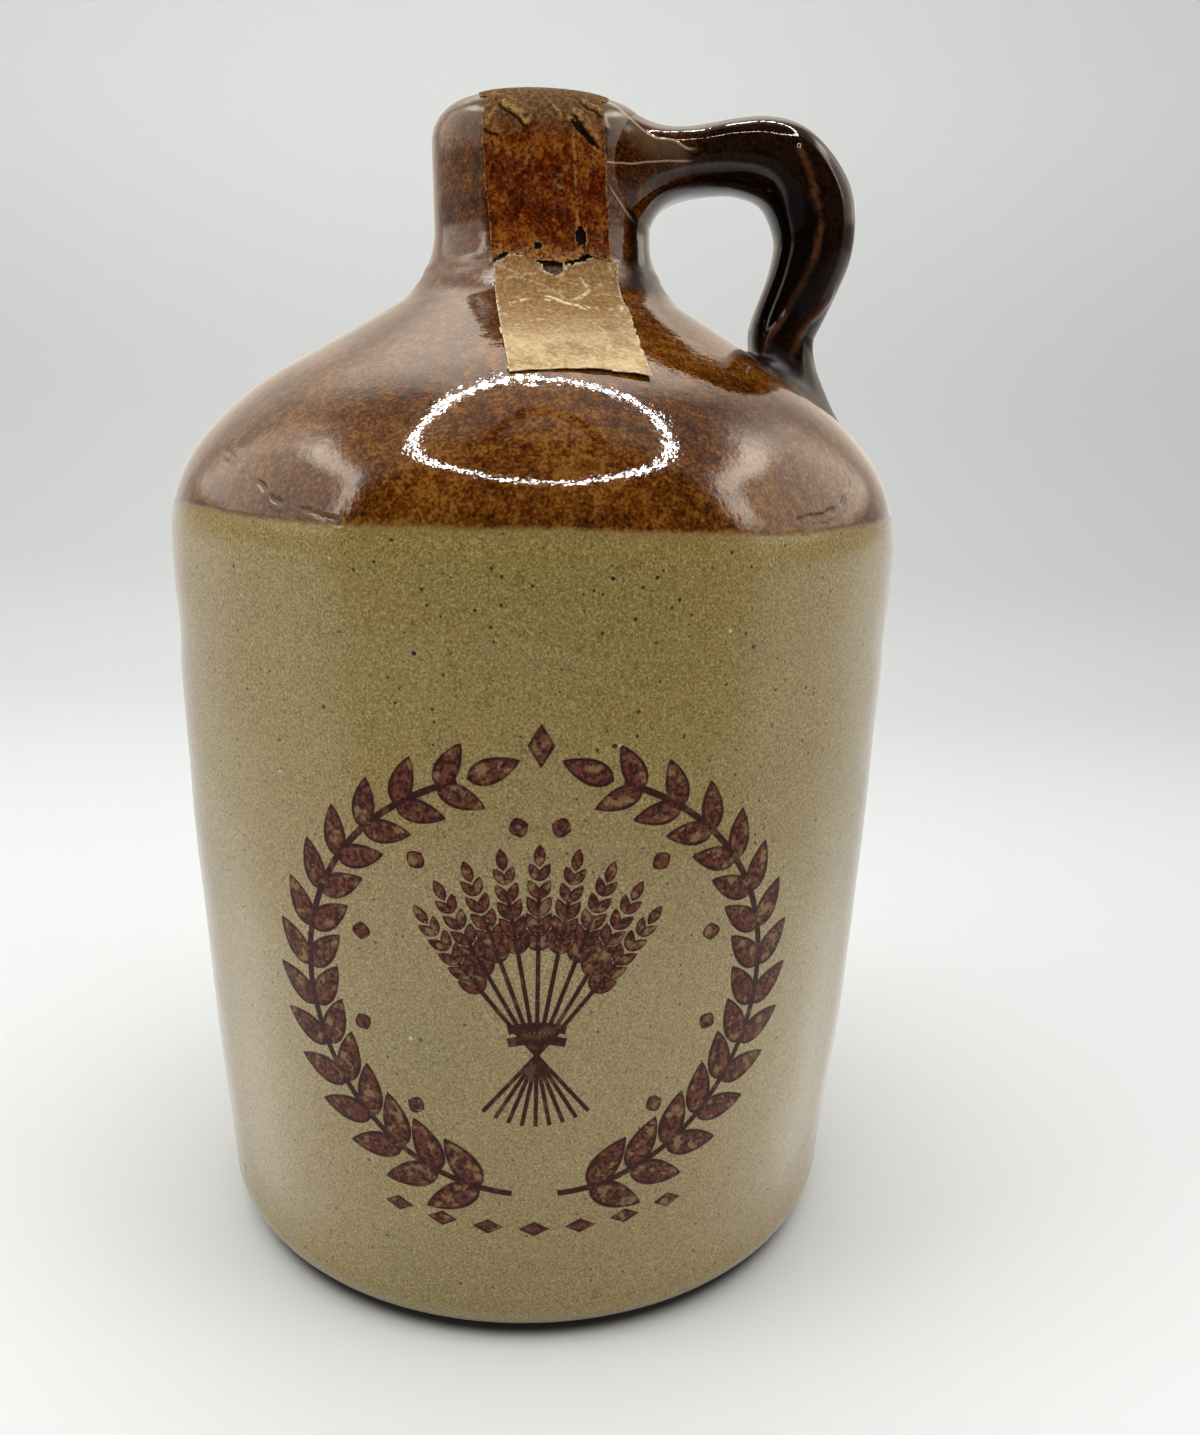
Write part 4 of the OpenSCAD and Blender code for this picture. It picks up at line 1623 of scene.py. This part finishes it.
def sweep_material():
    """Pale paper with painted shade: greyer towards the right and in the bend, lighter higher up, and a
    painted shadow under the jug's foot.
    """
    material, tree, shader = blank_material("pale paper sweep")
    place = object_place(tree)
    spot = axes(tree, place)
    # Painted shade: darker in the bend and towards the right, lighter higher up.
    level = plus(tree, map_range(tree, spot["Z"], 0.12, 0.32, 0.91, 1.07),
                 map_range(tree, spot["Z"], 0.0, 0.05, 0.09, 0.0))
    level = times(tree, level, map_range(tree, spot["X"], -0.22, 0.36, 1.0, 0.91))
    # Painted shadow: near black on the floor close about the jug's foot.
    away = add_node(tree, "VectorMath", {"operation": "LENGTH"}, _0=place).outputs["Value"]
    level = times(tree, level, map_range(tree, away, 0.0450, 0.0475, 0.08, 1.0))
    tone = add_node(tree, "VectorMath", {"operation": "SCALE"}, _0=(0.80, 0.81, 0.80), Scale=level)
    wire(tree, tone.outputs["Vector"], shader, "Base Color")
    shader.inputs["Roughness"].default_value = 0.9
    return material


def sweep():
    """Pale floor that curves up into a backdrop."""
    bpy.ops.mesh.primitive_plane_add(size=1, location=(0, 0, 0))
    floor = named("floor_sweep")
    floor.scale = (4, 1, 1)
    settle(floor)
    edit(floor)
    bpy.ops.mesh.select_all(action="SELECT")
    bpy.ops.transform.translate(value=(0, -0.15, 0))
    leave()
    choose(floor, lambda vertex: vertex.co.y > 0)
    bpy.ops.mesh.select_mode(type="EDGE")
    bend = 0.25
    steps = 12
    for i in range(steps):
        a, b = (math.pi / 2 * k / steps for k in (i, i + 1))
        move = (0, bend * (math.sin(b) - math.sin(a)), bend * (math.cos(a) - math.cos(b)))
        bpy.ops.mesh.extrude_region_move(TRANSFORM_OT_translate={"value": move})
    bpy.ops.mesh.extrude_region_move(TRANSFORM_OT_translate={"value": (0, 0, 1.2)})
    leave()
    for vertex in floor.data.vertices:
        if vertex.co.y < -0.5:
            vertex.co.y = -3
    smooth(floor, 60)
    floor.data.materials.append(sweep_material())
    floor.visible_glossy = False


def only_reflected(obj):
    """Shows a piece of the studio in reflections alone."""
    obj.visible_camera = False
    obj.visible_diffuse = False
    obj.visible_shadow = False


NEAR_FLOOR_R = 0.078
NEAR_FLOOR_LIFT = 0.00004


def near_floor():
    """The floor about the foot, for the glaze's own reflections alone."""
    bpy.ops.mesh.primitive_circle_add(vertices=96, radius=NEAR_FLOOR_R, fill_type="NGON",
                                      location=(0, 0, NEAR_FLOOR_LIFT))
    disc = named("near_floor")
    material, tree, shader = blank_material("near floor")
    away = add_node(tree, "VectorMath", {"operation": "LENGTH"}, _0=object_place(tree)).outputs["Value"]
    shader.inputs["Base Color"].default_value = colour(0.80, 0.81, 0.80)
    shader.inputs["Roughness"].default_value = 0.9
    wire(tree, map_range(tree, away, 0.068, 0.050), shader, "Alpha")
    disc.data.materials.append(material)
    only_reflected(disc)


# Area lights: name, place, width and power. All are aimed at the jug's middle.
AREA_LIGHTS = [
    ("overhead", (0.0, 0.0, 0.55), 0.5, 1.6),
    ("side_left", (-0.55, -0.20, 0.35), 0.4, 1.35),
    ("side_right", (0.55, -0.20, 0.35), 0.4, 1.05),
]
LIGHT_AIM = Vector((0, 0, 0.09))


def add_area(name, place, size, power):
    bpy.ops.object.light_add(type="AREA", location=place)
    light = bpy.context.object
    light.name = name
    light.data.shape = "DISK"
    light.data.size = size
    light.data.energy = power
    light.rotation_euler = (LIGHT_AIM - Vector(place)).to_track_quat("-Z", "Y").to_euler()
    light.visible_glossy = False


RING_C = Vector((0.009, -0.072, 0.36))
RING_R = 0.126
HUB_R = 0.054
LED_COUNT = 52
LED_R = 0.0050
LED_POWER = 90
HUB_TUBE = 0.007


def led_ring():
    """A ring of small lamps over the shoulder, seen only as its reflection."""
    bpy.ops.mesh.primitive_circle_add(vertices=12, radius=LED_R, fill_type="NGON", location=RING_C)
    lamp = named("led_ring")
    lamp.location.x += RING_R
    settle(lamp)
    copies = [lamp]
    for k in range(1, LED_COUNT):
        angle = 2 * math.pi * k / LED_COUNT
        twin = lamp.copy()
        twin.data = lamp.data.copy()
        bpy.context.collection.objects.link(twin)
        for vertex in twin.data.vertices:
            off = vertex.co - RING_C
            vertex.co = RING_C + Vector((off.x * math.cos(angle) - off.y * math.sin(angle),
                                         off.x * math.sin(angle) + off.y * math.cos(angle), 0))
        copies.append(twin)
    ring = join("led_ring", copies)
    material, _, shader = blank_material("ring lamp")
    shader.inputs["Base Color"].default_value = colour(0, 0, 0)
    shader.inputs["Emission Color"].default_value = colour(1, 1, 1)
    shader.inputs["Emission Strength"].default_value = LED_POWER
    ring.data.materials.append(material)
    only_reflected(ring)


def led_hub():
    """The dark hub in the middle of the lamps, seen only as its reflection."""
    bpy.ops.mesh.primitive_torus_add(major_radius=HUB_R, minor_radius=HUB_TUBE, location=RING_C)
    hub = named("led_hub")
    hub.data.materials.append(flat_material("lamp hub", colour(0.01, 0.01, 0.01)))
    only_reflected(hub)


RIGHT_SHIFT = math.radians(12)
# A lit window of the tent at each side: its middle and half sizes as turn and rise
WINDOW = (math.radians(93), math.radians(20), math.radians(13), math.radians(8))
WINDOW_ROUND = math.radians(22)


def light_world():
    """A light tent: a bright window at each side, a pale back and floor, a dim open front, and
    a pale wall to the camera. Levels are those that the glaze reflects."""
    world = bpy.data.worlds.new("light tent")
    bpy.context.scene.world = world
    world.use_nodes = True
    tree = world.node_tree
    tree.nodes.clear()

    def between(low, high, share):
        return plus(tree, times(tree, low, minus(tree, 1.0, share)), times(tree, high, share))

    path = add_node(tree, "LightPath")
    way = add_node(tree, "SeparateXYZ", None, Vector=add_node(tree, "TexCoord").outputs["Generated"])
    beside = math_node(tree, "ABSOLUTE", way.outputs["X"])
    ahead = times(tree, way.outputs["Y"], -1.0)
    turn = math_node(tree, "ARCTAN2", beside, ahead)
    shift = map_range(tree, way.outputs["X"], -0.1, 0.1, 0.0, RIGHT_SHIFT)
    turn = minus(tree, turn, shift)
    height = way.outputs["Z"]
    rise = math_node(tree, "ARCSINE", height)
    side = map_range(tree, turn, math.radians(53), math.radians(64))
    back = map_range(tree, turn, math.radians(122), math.radians(148))

    beyond = []
    for angle, middle, half in ((turn, WINDOW[0], WINDOW[2]), (rise, WINDOW[1], WINDOW[3])):
        off = distance(tree, angle, middle)
        off = math_node(tree, "MAXIMUM", minus(tree, off, half), 0.0)
        beyond.append(times(tree, off, off))
    edge = math_node(tree, "SQRT", plus(tree, *beyond))
    edge = minus(tree, edge, WINDOW_ROUND)
    lit = map_range(tree, edge, 0.13, -0.08)
    low_dim = map_range(tree, height, 0.14, 0.24, 0.25, 1.0)
    window = between(0.45, times(tree, 1.82, low_dim), lit)
    rim = map_range(tree, math_node(tree, "ABSOLUTE", plus(tree, edge, 0.07)), 0.11, 0.01)
    rim = times(tree, rim, map_range(tree, turn, math.radians(122), math.radians(100)))
    rim = times(tree, rim, map_range(tree, height, 0.30, 0.46))
    window = plus(tree, window, times(tree, rim, 5.0))
    rear = map_range(tree, height, 0.48, 0.80, 0.88, 2.6)
    above = times(tree, side, between(window, rear, back))
    zenith = map_range(tree, height, 0.90, 0.95)
    above = between(above, map_range(tree, way.outputs["Y"], -0.12, 0.06, 0.05, 0.75), zenith)

    near = map_range(tree, height, -0.24, -0.48)
    flank = map_range(tree, turn, math.radians(48), math.radians(70))
    behind = map_range(tree, turn, math.radians(104), math.radians(134))
    front_floor = map_range(tree, near, 0.0, 1.0, 0.25, 1.9)
    side_floor = map_range(tree, near, 0.0, 1.0, 1.20, 2.05)
    floor = between(front_floor, side_floor, flank)
    floor = between(floor, map_range(tree, near, 0.0, 1.0, 0.90, 1.0), behind)
    floor = times(tree, floor, map_range(tree, height, -0.48, -0.82, 1.0, 0.5))
    room = between(floor, plus(tree, above, 0.04), map_range(tree, height, -0.05, 0.07))

    fill = map_range(tree, turn, math.radians(35), math.radians(80), 0.42, 0.84)
    soft = add_node(tree, "Background", None, Color=colour(1, 1, 1), Strength=fill)
    warmth = map_range(tree, height, -0.05, 0.10)
    tent = mix(tree, warmth, colour(0.99, 0.99, 0.98), colour(1.08, 0.97, 0.82))
    sheen = add_node(tree, "Background", None, Color=tent, Strength=room)
    pale_wall = add_node(tree, "Background", None, Color=colour(0.70, 0.72, 0.70), Strength=1.0)
    glossy = add_node(tree, "MixShader", None, _0=path.outputs["Is Glossy Ray"],
                      _1=soft.outputs[0], _2=sheen.outputs[0])
    final = add_node(tree, "MixShader", None, _0=path.outputs["Is Camera Ray"],
                     _1=glossy.outputs[0], _2=pale_wall.outputs[0])
    add_node(tree, "OutputWorld", None, Surface=final.outputs[0])


# Camera of the photograph, solved from the jug's outline: place in metres, pitch and roll
# in degrees, focal length and the row of its axis in pixels of a 1200 by 1435 frame
CAMERA_PLACE = (0.0105, -0.1845, 0.1227)
CAMERA_PITCH = 17.53
CAMERA_ROLL = 1.75
CAMERA_FOCAL = 1202
CAMERA_AXIS_ROW = 800
FRAME_H = 1435
SENSOR = 36


def place_camera():
    bpy.ops.object.camera_add(location=CAMERA_PLACE)
    camera = bpy.context.object
    camera.name = "photo_camera"
    turn = Euler((math.radians(90 - CAMERA_PITCH), 0, 0)).to_matrix()
    roll = Euler((0, 0, math.radians(CAMERA_ROLL))).to_matrix()
    camera.rotation_euler = (turn @ roll).to_euler()
    camera.data.sensor_width = SENSOR
    camera.data.sensor_fit = "AUTO"
    camera.data.lens = CAMERA_FOCAL / FRAME_H * SENSOR
    camera.data.shift_y = (CAMERA_AXIS_ROW - FRAME_H / 2) / FRAME_H
    camera.data.clip_start = 0.01
    bpy.context.scene.camera = camera


sweep()
near_floor()
led_ring()
led_hub()
light_world()
for area in AREA_LIGHTS:
    add_area(*area)
place_camera()

bpy.context.scene.view_settings.view_transform = "Standard"
